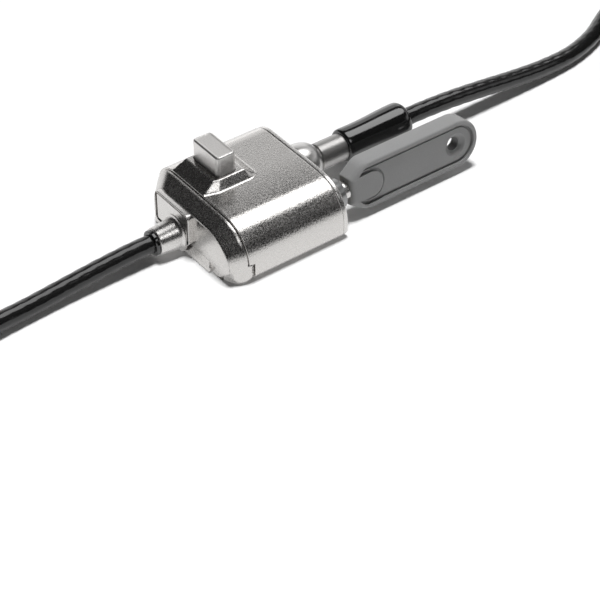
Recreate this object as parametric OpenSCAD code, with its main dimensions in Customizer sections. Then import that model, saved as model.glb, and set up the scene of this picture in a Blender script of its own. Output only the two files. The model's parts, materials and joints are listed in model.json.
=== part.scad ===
// Push-button cable lock: a cast housing with a quarter-turn key cylinder, a button that
// drives a forked bolt into the groove of a plug-in cable end, and a fixed main cable.
// X runs along the cables, Y to the back, Z up. The origin is the middle of the underside.

/* [Housing] */
// Length of the cover along the cables
cover_l = 29.8; // [29.4:0.2:34]
// Length of the end cap beside the cover
cap_l = 5.1; // [4.5:0.1:7]
// Width of the housing across the cables
body_w = 40.6; // [40.4:0.2:44]
// Height of the housing
body_h = 15.2; // [15:0.1:17]
// Radius of the long top edge over the key
top_r = 10.2; // [9:0.1:10.4]
// Radius of the long top edge at the back
back_r = 8.8; // [7.8:0.1:8.9]
// Radius of the long bottom edges
low_r = 1.7; // [1.2:0.1:4]
// Wall thickness of the cover
wall = 1.5; // [1.2:0.1:1.6]
// Gap under the long edges of the cover
cover_lift = 0.4; // [0.2:0.1:0.7]
// Thickness of the base plate
base_t = 1.5; // [1.3:0.1:1.6]
// Distance from the housing's side to the base plate's edge
base_in = 3.9; // [3.8:0.1:4]
// How far the end cap's bevel draws in
cap_bevel = 2.1; // [1:0.1:2.6]
// How far the end cap draws in at its back
cap_back = 5.4; // [4:0.1:6]
// Thickness of the end plate inside the cover
plate_in = 1.5; // [1.2:0.1:1.9]
// How far the end plate stands out of the cover
plate_out = 0.7; // [0.4:0.1:1]
// Step in from the cover's outline to the end plate's
plate_step = 0.6; // [0.3:0.1:1]
// Length of the cap's tongue inside the cover
tongue_l = 2.2; // [1.5:0.1:2.4]
// Thickness of the cap's tongue
tongue_t = 1.2; // [0.8:0.1:1.4]
// Length of the cap's lower tab beyond the seam
tab_l = 1.7; // [1:0.1:2]
// Height of the cap's lower tab
tab_h = 5.5; // [4:0.1:7]

/* [Left end] */
// Thickness of the raised pad on the end cap
pad_t = 1.5; // [0.8:0.1:2]
// Width of the raised pad
pad_w = 15.1; // [13:0.1:16]
// Height of the raised pad
pad_h = 9.5; // [8.6:0.1:10]
// Distance from the plug's middle back to the pad's middle
pad_back = 1.45; // [1:0.05:2]
// Corner radius of the pad
pad_r = 1.4; // [0.5:0.1:2.5]
// Length of the socket boss
boss_l = 6.5; // [4:0.1:9]
// Diameter of the boss at its mouth
boss_mouth_d = 7.4; // [7:0.1:8.2]
// Diameter of the boss at the pad
boss_root_d = 8.4; // [7.4:0.1:8.6]

/* [Pedestal and button] */
// Height of the pedestal above the cover
ped_h = 2.2; // [1:0.1:3]
// Length of the pedestal's flat top
ped_l = 9.4; // [8.4:0.1:11]
// Width of the pedestal's flat top in front of the button
ped_front = 0.9; // [0.8:0.1:2]
// Width of the pedestal's flat top behind the button
ped_back = 0.4; // [0.3:0.1:1]
// Length of the pedestal's slope beside the seam
ped_slope_left = 4; // [2:0.1:4.2]
// Length of the pedestal's slope towards the key end
ped_slope_right = 3; // [1.5:0.1:4]
// Length of the pedestal's front slope
ped_slope_front = 1.9; // [1:0.1:3]
// Length of the pedestal's back slope
ped_slope_back = 0.3; // [0.2:0.1:1]
// Distance from the seam to the middle of the button
button_at = 8.7; // [8.6:0.1:9.4]
// Distance from the housing's back side to the middle of the button
button_in = 13.4; // [13.2:0.1:13.6]
// Length of the button along the cables
button_l = 6; // [5:0.1:6.2]
// Width of the button across the cables
button_w = 11.4; // [10.2:0.1:11.5]
// Corner radius of the button
button_r = 1.2; // [0.4:0.1:1.6]
// Height of the button above the pedestal when it is up
button_rise = 5.7; // [5.2:0.1:8]
// Travel of the button
button_travel = 4.5; // [4.4:0.1:4.6]
// Width of the flange that keeps the button in
flange_w = 0.8; // [0.5:0.1:1]
// Thickness of that flange
flange_t = 1; // [0.7:0.1:1.1]

/* [Bolt and catch] */
// Thickness of the bolt
bolt_t = 2.6; // [2:0.1:2.8]
// Reach of the bolt in front of the plug's middle
bolt_front = 4.3; // [4:0.1:4.6]
// Reach of the bolt behind the plug's middle
bolt_back = 3.8; // [3:0.1:4]
// Length of the bolt's catch arm
arm_l = 2.5; // [2:0.1:2.8]
// Thickness of the bolt's catch arm
arm_t = 1.4; // [1:0.1:1.6]
// Thickness of the catch
catch_t = 1.8; // [1.4:0.1:1.9]
// Height of the catch's nose
nose_h = 1.4; // [1:0.1:1.5]
// Outer diameter of the button's spring
spring_d = 3.3; // [2.8:0.1:3.4]
// Wire of the button's spring
spring_wire = 0.5; // [0.3:0.05:0.6]
// Turns of the button's spring
spring_turns = 9; // [7:1:10]

/* [Cable and fittings] */
// Diameter of the coated cable
cable_d = 5; // [4.6:0.1:5.2]
// Height of the main cable where it leaves
rope_z = 7.6; // [7.4:0.1:7.8]
// Distance from the button's middle forward to the main cable
rope_front = 3.1; // [2.9:0.1:3.6]
// Diameter of the main cable's collar
collar_d = 12.2; // [10.6:0.1:12.8]
// Length of the collar outside the end plate
collar_l = 8.4; // [7:0.1:9.4]
// Diameter of the collar's neck in the end plate
neck_d = 8.4; // [7:0.1:9]
// Diameter of the collar's flange inside
collar_flange_d = 10; // [9.4:0.1:10.2]
// Thickness of the collar's flange inside
collar_flange_t = 2; // [1.2:0.1:2.4]
// Diameter of the stop on the cable's end
stop_d = 8; // [7:0.1:8.4]
// Length of the stop on the cable's end
stop_l = 4; // [3:0.1:5]
// Diameter of the crimped ferrule
ferrule_d = 7.5; // [6.6:0.1:8.5]
// Length of the crimped ferrule
ferrule_l = 8.4; // [7:0.1:12]
// Length of the black sleeve
sleeve_l = 21.8; // [18:0.1:24]
// Diameter of the sleeve at the ferrule
sleeve_d = 9.4; // [8.6:0.1:10]
// Diameter of the sleeve at its outer end
sleeve_end_d = 10.4; // [9:0.1:11]

/* [Plug] */
// Height of the plug's middle
plug_z = 4.6; // [4.6:0.1:4.7]
// Distance from the button's middle forward to the plug
plug_front = 3.9; // [3.8:0.1:4]
// Diameter of the plug
plug_d = 5.8; // [5.4:0.1:5.9]
// Diameter of the plug's neck, where the bolt goes in
plug_neck_d = 3.1; // [2.6:0.1:3.3]
// Length of the plug's nose past the neck
nose_l = 3.2; // [2.4:0.1:3.6]
// Diameter of the plug's rim at the mouth
rim_d = 7; // [6.4:0.1:7.4]
// Thickness of the plug's rim
rim_t = 0.8; // [0.5:0.1:1.2]

/* [Key cylinder] */
// Distance from the housing's front side to the key cylinder's middle
key_in = 7.3; // [7.2:0.1:7.4]
// Room above and below the cylinder's barrel inside the cover, together
barrel_room = 3; // [3:0.1:3.4]
// Height of the key cylinder's middle above the housing's
key_up = 1.1; // [0.8:0.1:1.2]
// Step from the barrel's diameter down to its nose's
nose_step = 0.7; // [0.6:0.1:1]
// How far the barrel's nose stands out of the end plate
nose_out = 2.9; // [2:0.1:6]
// Wall of the barrel round the rotor
barrel_wall = 1.5; // [1.3:0.1:1.6]
// Wall of the rotor round its discs, fit included
rotor_wall = 0.65; // [0.6:0.05:0.8]
// Thickness of a disc
disc_t = 1.6; // [1:0.1:2]
// Distance from disc to disc
disc_step = 2.5; // [2.3:0.1:2.7]
// Number of discs
disc_count = 6; // [4:1:6]
// Distance from the cam's edge in to the middle of its pin
cam_edge = 0.9; // [0.8:0.1:1.1]
// Diameter of the cam's pin
cam_pin_d = 1.6; // [1.2:0.1:1.6]
// Thickness of the cam
cam_t = 1.8; // [1.4:0.1:1.8]

/* [Key] */
// Length of the key's grip
grip_l = 42.8; // [34:0.2:50]
// Width of the key's grip
grip_w = 13.6; // [12:0.1:14.4]
// Thickness of the key's grip
grip_t = 5.8; // [5:0.1:6.4]
// Width of the grip's rim
rim_w = 1.3; // [0.8:0.1:2]
// Depth of the panel inside the rim
panel_d = 0.8; // [0.4:0.1:1]
// Diameter of the key ring hole
ring_hole_d = 4; // [3:0.1:5]
// Diameter of the recess round the key ring hole
ring_recess_d = 6.4; // [5.4:0.1:8]
// Depth of the recess round the key ring hole
ring_recess_depth = 1; // [0.4:0.1:1.4]
// Length of the key's blade outside the grip
blade_l = 18.5; // [14:0.5:19]
// Length of the key's round shoulder between the nose and the grip
shoulder_out = 1.8; // [1:0.1:3]
// Diameter of that shoulder
shoulder_d = 5.2; // [4:0.1:5.6]
// Rim of a disc beyond the key's blade
disc_rim = 0.65; // [0.6:0.05:0.9]
// Thickness of the key's blade
blade_t = 1.4; // [1:0.1:1.5]
// Angle between the upright and the key's width at rest
key_tilt = 8; // [0:1:15]
// Angle that the key turns
key_turn = 86; // [80:1:90]

/* [Loop eyes and hank] */
// Length of the ferrule on a loop eye
eye_ferrule_l = 14; // [10:0.5:16]
// Wall of the ferrule on a loop eye
eye_ferrule_wall = 1.2; // [0.8:0.1:1.4]
// Distance between the two strands in the ferrule
eye_pitch = 5.4; // [5.3:0.1:5.6]
// Number of loops in the hank
hank_loops = 6; // [6:6:6]
// Width of the tie round the hank
tie_w = 9; // [6:0.5:12]
// Thickness of the tie round the hank
tie_t = 0.7; // [0.5:0.1:0.8]

/* [Fits] */
// Clearance of a running fit, on the radius
run_fit = 0.06; // [0.02:0.01:0.09]
// Clearance between a sliding piece and its guide
slide_fit = 0.15; // [0.1:0.01:0.2]
// Clearance between pieces that are fixed together
seat_fit = 0.05; // [0.02:0.01:0.08]
// Gap between flat faces of moving pieces
face_gap = 0.3; // [0.2:0.05:0.4]

/* [Hidden] */
$fn = 48;
over = 1; // how far a cut runs past a face

// Places across the housing and heights
button_y = body_w / 2 - button_in;
plug_y = button_y - plug_front;
pad_y = plug_y + pad_back;
rope_y = button_y - rope_front;
key_y = key_in - body_w / 2;
key_z = body_h / 2 + key_up;
base_w = body_w - 2 * base_in;
tab_y = base_w / 2 + 0.1;
barrel_d = body_h - 2 * wall - barrel_room;
nose_d = barrel_d - nose_step;
rotor_d = barrel_d - 2 * barrel_wall;
disc_d = rotor_d - 2 * rotor_wall;
blade_w = disc_d - 2 * disc_rim;
cam_throw = rotor_d / 2 - cam_edge;

// Stations along X
neck_gap = 0.2;
x_seam = (cap_l - cover_l) / 2;
x_left = x_seam - cap_l;
x_right = x_seam + cover_l;
x_face = x_right + plate_out;
x_pad = x_left - pad_t;
x_mouth = x_pad - boss_l;
x_bolt = x_seam + button_at;
x_plug_tip = x_bolt + bolt_t / 2 + neck_gap + nose_l;
x_collar = x_face + collar_l;
x_ferrule = x_collar + ferrule_l;
x_sleeve = x_ferrule + sleeve_l;
x_nose = x_face + nose_out;

// Heights of the pedestal and the button
ped_z = body_h + ped_h;
ped_foot = body_h - 3;
button_top = ped_z + button_rise;
button_foot = body_h - wall - face_gap - flange_t;

// Cover and base plate
inner_z = cover_lift + wall;
post_r = 1.8;
screw_r = 1;
screw_head_r = 1.8;
screw_head_h = 1.1;
screw_l = 7;
cover_posts = [[x_seam + 4.7, 3.2 - base_w / 2], [x_seam + 4.7, base_w / 2 - 1.9],
               [x_right - 9.9, key_y + barrel_d / 2 + post_r + 1], [x_right - 4.5, base_w / 2 - 2]];

// Bolt, measured with the button up
bolt_gap = 0.4;
bolt_tip = plug_z + plug_d / 2 + bolt_gap;
fork_w = plug_neck_d + 2 * neck_gap;
fork_root = plug_z + plug_neck_d / 2 + neck_gap + button_travel;
catch_z = plug_z + 1.6;
arm_top = catch_z - 0.1 + button_travel;
arm_low = arm_top - arm_t;
bolt_y0 = plug_y - bolt_front;
bolt_y1 = plug_y + bolt_back;
tang_y = (plug_y + bolt_y1) / 2 - 0.4;
tang_w = 3.2;
tang_h = 4;
pin_r = 0.6;
pin_z = button_foot + tang_h / 2 + pin_r;
spring_y = button_y + 2.4;
spring_foot = base_t + 0.9;
spring_head = ped_z + 0.1;
spring_hole_r = spring_d / 2 + 0.25;

// Inner block
block_x0 = x_seam + 2.8;
block_x1 = x_bolt + 6.65;
block_y0 = key_y + 4.7;
block_y1 = button_y + button_w / 2 - 0.2;
block_z1 = body_h - wall - 2.1;
block_low = plug_z + 2.3;
block_posts = [[block_x0 + 1.6, block_y0 + 1.7], [block_x0 + 1.6, block_y1 - 1.8]];
block_screw_l = 5;
block_screw_r = 0.8;
block_head_r = 1.5;
block_head_h = 0.8;

// Catch and cam; the pin swings evenly to both sides of upright
swing = key_turn / 2;
catch_travel = 2 * cam_throw * sin(swing);
catch_x0 = x_bolt - bolt_t / 2;
catch_tip = bolt_y0 - arm_l - 0.9;
slot_gap = 0.2;
slot_y = key_y - cam_throw * sin(swing);
x_cam = catch_x0 + catch_t + face_gap;
x_barrel = x_cam + cam_t + 1;
clip_t = 0.5;
clip_r = barrel_d / 2 - 0.5;
clip_groove_r = rotor_d / 2 - 0.4;
spigot = 2.2;

// Rotor and key
disc_hole_r = disc_d / 2 + seat_fit;
disc_x = x_barrel + 3;
rotor_face = x_nose - 0.25;
grip_x = x_nose + face_gap + shoulder_out;
blade_x = grip_x - blade_l;
keyway_x = min(disc_x, blade_x - 0.2) - 0.1;
tang_in = 4;
end_r = grip_w / 2;
ring_back = 0.6;
ring_x = grip_l - end_r - ring_back;
shoulder_l = 4.2;
shoulder_w = 7.8;
tongue_end = 10.5;
tongue_r = 3.6;

// Cable routes, away from the fittings
strand_r = cable_d / 2;
cable_route = [[x_sleeve, rope_y, rope_z], [62, 3.8, 7.6], [72, 3.8, 7.1], [84, 3.8, 5.9],
               [96, 3.8, 4.4], [108, 4, 3.2], [120, 5, 2.6], [131, 8, 2.6], [141, 13, 2.8],
               [151, 17.6, 3.1], [161, 19, 3.3], [170, 18.2, 3.4]];
lead_route = [[x_mouth - face_gap - rim_t, plug_y, plug_z], [-32, 3, 4.6], [-42, 2.9, 4.1],
              [-53, 2.6, 3.4], [-64, 2, 3], [-75, 1.2, 3.4], [-81, 0.7, 3.8]];
lead_eye = [-82, -2, 3.8];
tail_route = [[201, 17.4, 20.7], [207, 17.2, 22.8], [213.4, 15.4, 25], [218.5, 11.9, 26], [221.8, 6.8, 26],
              [223, 0.9, 26], [221.8, -5, 26], [218.5, -10.1, 26], [213.4, -13.4, 26], [208.4, -14.7, 26]];
tail_eye = [204.8, -12, 26];
// One side of an eye, along and across from the mouth of its ferrule
eye_side = [[6, 3.9], [12, 7], [18, 11], [24, 14.8], [30, 16.4], [36.3, 15.1], [41.6, 11.6], [45.2, 6.3]];
eye_tip = [46.4, 0];

// Hank: loops with straight runs and round ends, in four layers
hank_at = [185.6, -6.6];
hank_z = 3.4;
hank_run = 26;
hank_r = 24.8;
hank_pitch = 6.3;
hank_layers = 4;
hank_rise = 5.5;
hank_waist = 0.04;
hank_rings = 24;
hank_lead = 5;

// ---------------------------------------------------------------- helpers

module at(x = 0, y = 0, z = 0) { translate([x, y, z]) children(); }

// Turns a shape drawn in the plane into one drawn across X, and extrudes it along X
module along_x(x0, x1) { translate([x0, 0, 0]) rotate([90, 0, 90]) linear_extrude(x1 - x0) children(); }

// A cylinder, or a cone, along X
module rod(x0, x1, r, r1 = undef) {
    translate([x0, 0, 0]) rotate([0, 90, 0]) cylinder(h = x1 - x0, r1 = r, r2 = is_undef(r1) ? r : r1);
}

// A body turned from an outline of [x, r] points, about X
module turned(outline) { rotate([0, 90, 0]) rotate([0, 0, 90]) rotate_extrude($fn = 64) lathe(outline); }

module lathe(outline) { polygon([for (p = outline) [p[1], p[0]]]); }

// A box given by its two corners
module box(a, b) { translate(a) cube(b - a); }

// A flat shape with round corners, w along X and d along Y
module round_rect(w, d, r) {
    square([w - 2 * r, d], center = true);
    square([w, d - 2 * r], center = true);
    for (sx = [-1, 1], sy = [-1, 1]) translate([sx * (w / 2 - r), sy * (d / 2 - r)]) circle(r = r);
}

// Outline of the housing across X: drawn in by inset, its underside at foot
module outline(inset, foot) {
    half = body_w / 2;
    mid = body_h - top_r;
    high = body_h - back_r;
    corner = max(low_r, inset + 0.3);
    square_between(-half + inset, half - inset, foot + corner, mid);
    square_between(-half + top_r, half - inset, mid - 0.01, high);
    square_between(-half + top_r, half - back_r, high - 0.01, body_h - inset);
    square_between(-half + corner, half - corner, foot + inset, mid);
    for (edge = [[-1, top_r], [1, back_r]]) intersection() {
        translate([edge[0] * (half - edge[1]), body_h - edge[1]]) circle(r = edge[1] - inset, $fn = 96);
        square_between(-half, half, body_h - edge[1] - 0.01, body_h);
    }
    for (side = [-1, 1]) translate([side * (half - corner), foot + corner]) circle(r = corner - inset);
}

module square_between(x0, x1, y0, y1) { translate([x0, y0]) square([x1 - x0, y1 - y0]); }

// A countersunk screw that stands on its head, its top face at z = 0.1
module screw(r, head_r, head_h, l) {
    translate([0, 0, 0.1]) difference() {
        union() {
            cylinder(h = head_h, r1 = head_r, r2 = r);
            cylinder(h = l, r = r);
        }
        box([-head_r * 0.7, -0.2, -over], [head_r * 0.7, 0.2, 0.45]);
    }
}

// The hole that the same screw needs
module screw_hole(r, head_r, head_h, l) {
    translate([0, 0, -over]) cylinder(h = over + 0.1 + l + over, r = r + seat_fit);
    translate([0, 0, -over]) cylinder(h = over + 0.1, r = head_r + seat_fit);
    translate([0, 0, 0.099]) cylinder(h = head_h, r1 = head_r + seat_fit, r2 = r + seat_fit);
}

// A tube of radius r swept through points, with n sides
function unit(v) = v / norm(v);
function heading(p, i) = unit(p[min(i + 1, len(p) - 1)] - p[max(i - 1, 0)]);
function side_of(t) = unit(cross(t, [0, 0, 1]));
function ring(p, i, r, n) = let (t = heading(p, i), s = side_of(t), u = cross(s, t))
    [for (k = [0 : n - 1]) p[i] + r * (cos(360 * k / n) * s + sin(360 * k / n) * u)];

module sweep(p, r, n) {
    last = len(p) - 1;
    polyhedron(
        points = [for (i = [0 : last]) each ring(p, i, r, n)],
        faces = concat(
            [[for (k = [0 : n - 1]) k]],
            [for (i = [0 : last - 1], k = [0 : n - 1]) let (a = i * n, b = (k + 1) % n)
                [a + k, a + n + k, a + n + b]],
            [for (i = [0 : last - 1], k = [0 : n - 1]) let (a = i * n, b = (k + 1) % n)
                [a + k, a + n + b, a + b]],
            [[for (k = [n - 1 : -1 : 0]) last * n + k]]));
}

// Points of a loop eye: out from its ferrule and back, towards direction dir along X;
// first is the side, 1 or -1, that the strand goes out on
function eye_point(at, dir, q, side) = [at[0] + dir * (eye_ferrule_l + q[0]), at[1] + side * q[1], at[2]];
function eye_route(at, dir, first) = concat(
    [[at[0], at[1] + first * eye_pitch / 2, at[2]], eye_point(at, dir, [0, eye_pitch / 2], first)],
    [for (q = eye_side) eye_point(at, dir, q, first)],
    [eye_point(at, dir, eye_tip, first)],
    [for (i = [len(eye_side) - 1 : -1 : 0]) eye_point(at, dir, eye_side[i], -first)],
    [eye_point(at, dir, [0, eye_pitch / 2], -first)],
    [[at[0] - dir * 0.5, at[1] - first * eye_pitch / 2, at[2]]]);

// The ferrule of an eye: two bores side by side
module loop_ferrule(at, dir) {
    x0 = min(at[0], at[0] + dir * eye_ferrule_l);
    r = strand_r + eye_ferrule_wall;
    translate([0, at[1], at[2]]) difference() {
        union() {
            for (s = [-1, 1]) translate([0, s * eye_pitch / 2, 0]) rod(x0, x0 + eye_ferrule_l, r);
            box([x0, -eye_pitch / 2, -r], [x0 + eye_ferrule_l, eye_pitch / 2, r]);
        }
        for (s = [-1, 1]) translate([0, s * eye_pitch / 2, 0])
            rod(x0 - over, x0 + eye_ferrule_l + over, strand_r + seat_fit);
    }
}

// Place on a loop of the hank: u is the share of the loop from the middle of its back run
hank_mean = hank_r - hank_pitch * hank_loops / hank_layers / 2;
hank_turn = 4 * hank_run + 2 * PI * hank_mean;
u_run = hank_run / hank_turn;
u_bend = PI * hank_mean / hank_turn;
function drawn(x) = 1 - hank_waist * (1 + cos(180 * x / hank_run)) / 2;
function on_run(x, r) = [x, r * drawn(x)];
function on_loop(u, r) =
    u < u_run ? on_run(hank_run * u / u_run, r) :
    u < u_run + u_bend ? let (a = 180 * (u - u_run) / u_bend) [hank_run + r * sin(a), r * cos(a)] :
    u < 3 * u_run + u_bend ? let (x = hank_run * (2 - (u - u_bend) / u_run)) [x, -r * drawn(x)] :
    u < 1 - u_run ? let (a = 180 * (u - 3 * u_run - u_bend) / u_bend)
        [-hank_run - r * sin(a), -r * cos(a)] :
    on_run(-hank_run * (1 - u) / u_run, r);

// Radius and height after t loops: in and out at a steady rate, up a layer where it reverses
per_layer = hank_loops / hank_layers;
function fold(t) = let (m = t - 2 * per_layer * floor(t / (2 * per_layer)))
    m < per_layer ? m : 2 * per_layer - m;
function ramp(s) = s <= 0 ? 0 : s >= 1 ? 1 : s * s * (3 - 2 * s);
function climb(t, k) = k < 1 ? 0 : ramp((t - k * per_layer) * 2 + 0.5) + climb(t, k - 1);
function hank_point(t) = let (q = on_loop(t - floor(t), hank_r - hank_pitch * fold(t)))
    [hank_at[0] + q[0], hank_at[1] + q[1], hank_z + hank_rise * climb(t, hank_layers - 1)];
hank_steps = hank_loops * hank_rings;
hank_first = hank_point(0);
hank_last = hank_point(hank_loops);
hank_route = concat([hank_first - [hank_lead, 0, 0]],
                    [for (i = [0 : hank_steps]) hank_point(i / hank_rings)],
                    [hank_last + [hank_lead, 0, 0]]);

// Least gap between turns of the hank, measured on its points
hank_near = min([for (i = [0 : 2 : hank_steps], j = [i + hank_rings / 2 : 1 : hank_steps])
    norm(hank_route[i + 1] - hank_route[j + 1])]);
echo(hank_least_gap = hank_near - cable_d, hank_length = hank_length(1));
function hank_length(i) = i > hank_steps ? 0 : norm(hank_route[i + 1] - hank_route[i]) + hank_length(i + 1);

// ---------------------------------------------------------------- housing

module pedestal() {
    foot_l = ped_l + ped_slope_left + ped_slope_right;
    top_mid = x_seam + ped_slope_left + ped_l / 2;
    front = button_y - button_w / 2 - ped_front;
    back = button_y + button_w / 2 + ped_back;
    foot_front = front - ped_slope_front;
    foot_back = back + ped_slope_back;
    hull() {
        translate([x_seam + foot_l / 2, (foot_front + foot_back) / 2, ped_foot])
            linear_extrude(body_h - ped_foot) round_rect(foot_l, foot_back - foot_front, 2.4, $fn = 32);
        translate([top_mid, (front + back) / 2, ped_z - 0.1])
            linear_extrude(0.1) round_rect(ped_l, back - front, 1.6, $fn = 32);
    }
}

module cover() color([0.66, 0.64, 0.62]) difference() {
    union() {
        difference() {
            union() {
                along_x(x_seam, x_right) outline(0, cover_lift);
                pedestal();
            }
            along_x(x_seam - over, x_right + over) outline(wall, cover_lift);
            box([x_seam - over, -base_w / 2 - 0.1, -over],
                [x_right + over, base_w / 2 + 0.1, inner_z + 0.2]);
        }
        intersection() {
            for (p = cover_posts) at(p[0], p[1], base_t) cylinder(h = body_h, r = post_r);
            along_x(x_seam, x_right) outline(wall / 2, cover_lift - over);
        }
    }
    // opening for the button
    translate([x_bolt, button_y, body_h / 2]) linear_extrude(body_h)
        round_rect(button_l + 2 * slide_fit, button_w + 2 * slide_fit, button_r);
    for (p = cover_posts) at(p[0], p[1], 0) cylinder(h = 0.1 + screw_l + 0.4, r = screw_r + seat_fit);
    // room for the barrel under the rounded edge
    at(0, key_y, key_z) rod(x_cam - face_gap, x_right - plate_in, barrel_d / 2 + seat_fit);
    at(0, key_y, key_z) rod(x_right - plate_in - over, x_right + over, nose_d / 2 + seat_fit);
    // notches for the cap's tabs
    for (side = [-1, 1]) scale([1, side, 1])
        box([x_seam - over, tab_y, -over], [x_seam + tab_l, body_w, tab_h]);
}

module base_plate() color([0.55, 0.54, 0.53]) difference() {
    box([x_seam + seat_fit, -base_w / 2, 0], [x_right - seat_fit, base_w / 2, base_t]);
    for (p = cover_posts) at(p[0], p[1], 0) screw_hole(screw_r, screw_head_r, screw_head_h, screw_l);
    for (p = block_posts) at(p[0], p[1], 0)
        screw_hole(block_screw_r, block_head_r, block_head_h, block_screw_l);
    at(x_barrel + 8, key_y, -over) cylinder(h = base_t + 2 * over, r = 0.8 + seat_fit);
}

// The end cap's outline keeps its underside flat where its bevel draws in
module cap_face() {
    intersection() {
        translate([(cap_bevel - cap_back) / 2, 0])
            scale([1 - (cap_bevel + cap_back) / body_w, 1 - cap_bevel / body_h]) outline(0, 0, $fn = 32);
        square_between(-body_w, body_w, 0, body_h);
    }
}

module end_cap() color([0.68, 0.66, 0.64]) difference() {
    union() {
        hull() {
            along_x(x_seam - 0.2, x_seam) outline(0, 0, $fn = 32);
            along_x(x_left, x_left + 0.2) cap_face();
        }
        // pad and boss
        translate([x_pad, pad_y, body_h - cap_bevel - pad_h / 2]) rotate([90, 0, 90])
            linear_extrude(pad_t + 0.1) round_rect(pad_w, pad_h, pad_r);
        at(0, plug_y, plug_z) rod(x_mouth, x_pad + 0.1, boss_mouth_d / 2, boss_root_d / 2);
        // tongue inside the cover
        along_x(x_seam - 0.1, x_seam + tongue_l) difference() {
            outline(wall + seat_fit, cover_lift);
            outline(wall + tongue_t, cover_lift);
            square_between(-base_w / 2 - 0.1, base_w / 2 + 0.1, -over, inner_z + 2);
        }
        // tabs below the seam
        for (side = [-1, 1]) intersection() {
            along_x(x_seam - 0.1, x_seam + tab_l - seat_fit) difference() {
                outline(0, 0);
                outline(wall, cover_lift);
            }
            scale([1, side, 1])
                box([x_left, tab_y + seat_fit, -over], [x_right, body_w, tab_h - seat_fit]);
        }
    }
    at(0, plug_y, plug_z) rod(x_mouth - over, x_seam + over, plug_d / 2 + run_fit);
}

module end_plate() color([0.5, 0.49, 0.48]) difference() {
    union() {
        along_x(x_right - plate_in, x_right + 0.1) outline(wall + seat_fit, cover_lift);
        along_x(x_right, x_face) outline(plate_step, cover_lift);
    }
    at(0, key_y, key_z) rod(x_right - 2 * plate_in, x_face + over, nose_d / 2 + seat_fit);
    at(0, rope_y, rope_z) rod(x_right - 2 * plate_in, x_face + over, neck_d / 2 + seat_fit);
}

module cover_screws() color([0.4, 0.4, 0.42])
    for (p = cover_posts) at(p[0], p[1], 0) screw(screw_r, screw_head_r, screw_head_h, screw_l);

module block_screws() color([0.4, 0.4, 0.42])
    for (p = block_posts) at(p[0], p[1], 0) screw(block_screw_r, block_head_r, block_head_h, block_screw_l);

// ---------------------------------------------------------------- bolt works

module inner_block() color([0.58, 0.6, 0.63]) difference() {
    box([block_x0, block_y0, base_t], [block_x1, block_y1, block_z1]);
    // socket for the plug
    at(0, plug_y, plug_z) rod(block_x0 - over, x_plug_tip + 0.3, plug_d / 2 + run_fit);
    // room for the button's flange
    box([x_bolt - button_l / 2 - flange_w - face_gap, button_y - button_w / 2 - face_gap, block_low],
        [x_bolt + button_l / 2 + flange_w + face_gap, block_y1 + over, body_h]);
    // slot for the bolt and its arm
    box([x_bolt - bolt_t / 2 - slide_fit, bolt_y0 - arm_l - slide_fit, arm_low - button_travel - 0.5],
        [x_bolt + bolt_t / 2 + slide_fit, bolt_y1 + slide_fit, body_h]);
    box([x_bolt - bolt_t / 2 - slide_fit, bolt_y0 - slide_fit, bolt_tip - button_travel - 0.5],
        [x_bolt + bolt_t / 2 + slide_fit, bolt_y1 + slide_fit, body_h]);
    // channel for the catch
    box([catch_x0 - slide_fit, block_y0 - over, catch_z - slide_fit],
        [catch_x0 + catch_t + slide_fit, bolt_y0 + slide_fit, catch_z + nose_h + slide_fit]);
    at(x_bolt, spring_y, spring_foot) cylinder(h = body_h, r = spring_hole_r);
    // room for the barrel
    at(0, key_y, key_z) rod(x_cam - face_gap, block_x1 + over, barrel_d / 2 + 0.5);
    for (p = block_posts) at(p[0], p[1], 0) cylinder(h = block_screw_l + 0.5, r = block_screw_r + seat_fit);
}

module button() color([0.7, 0.68, 0.66]) difference() {
    union() {
        translate([x_bolt, button_y, button_foot]) linear_extrude(button_top - button_foot)
            round_rect(button_l, button_w, button_r - slide_fit / 2);
        translate([x_bolt, button_y, button_foot]) linear_extrude(flange_t)
            round_rect(button_l + 2 * flange_w, button_w, button_r);
    }
    box([x_bolt - bolt_t / 2 - seat_fit, tang_y - tang_w / 2 - seat_fit, button_foot - over],
        [x_bolt + bolt_t / 2 + seat_fit, tang_y + tang_w / 2 + seat_fit, button_foot + tang_h + 0.1]);
    at(x_bolt, spring_y, button_foot - over)
        cylinder(h = spring_head - button_foot + over, r = spring_hole_r);
    pin_rod(x_bolt - button_l, x_bolt + button_l, seat_fit);
}

module bolt() color([0.62, 0.63, 0.66]) difference() {
    union() {
        box([x_bolt - bolt_t / 2, bolt_y0, bolt_tip], [x_bolt + bolt_t / 2, bolt_y1, button_foot]);
        box([x_bolt - bolt_t / 2, tang_y - tang_w / 2, bolt_tip + 1],
            [x_bolt + bolt_t / 2, tang_y + tang_w / 2, button_foot + tang_h]);
        box([x_bolt - bolt_t / 2, bolt_y0 - arm_l, arm_low], [x_bolt + bolt_t / 2, bolt_y0 + 0.1, arm_top]);
    }
    box([x_bolt - bolt_t, plug_y - fork_w / 2, bolt_tip - over],
        [x_bolt + bolt_t, plug_y + fork_w / 2, fork_root]);
    pin_rod(x_bolt - bolt_t, x_bolt + bolt_t, seat_fit);
}

// The pin that holds the bolt's tang in the button, grown by gap for its hole
module pin_rod(x0, x1, gap) { at(0, tang_y, pin_z) rod(x0, x1, pin_r + gap, $fn = 24); }

module button_pin() color([0.45, 0.45, 0.47])
    pin_rod(x_bolt - button_l / 2 + 0.1, x_bolt + button_l / 2 - 0.1, 0);

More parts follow.
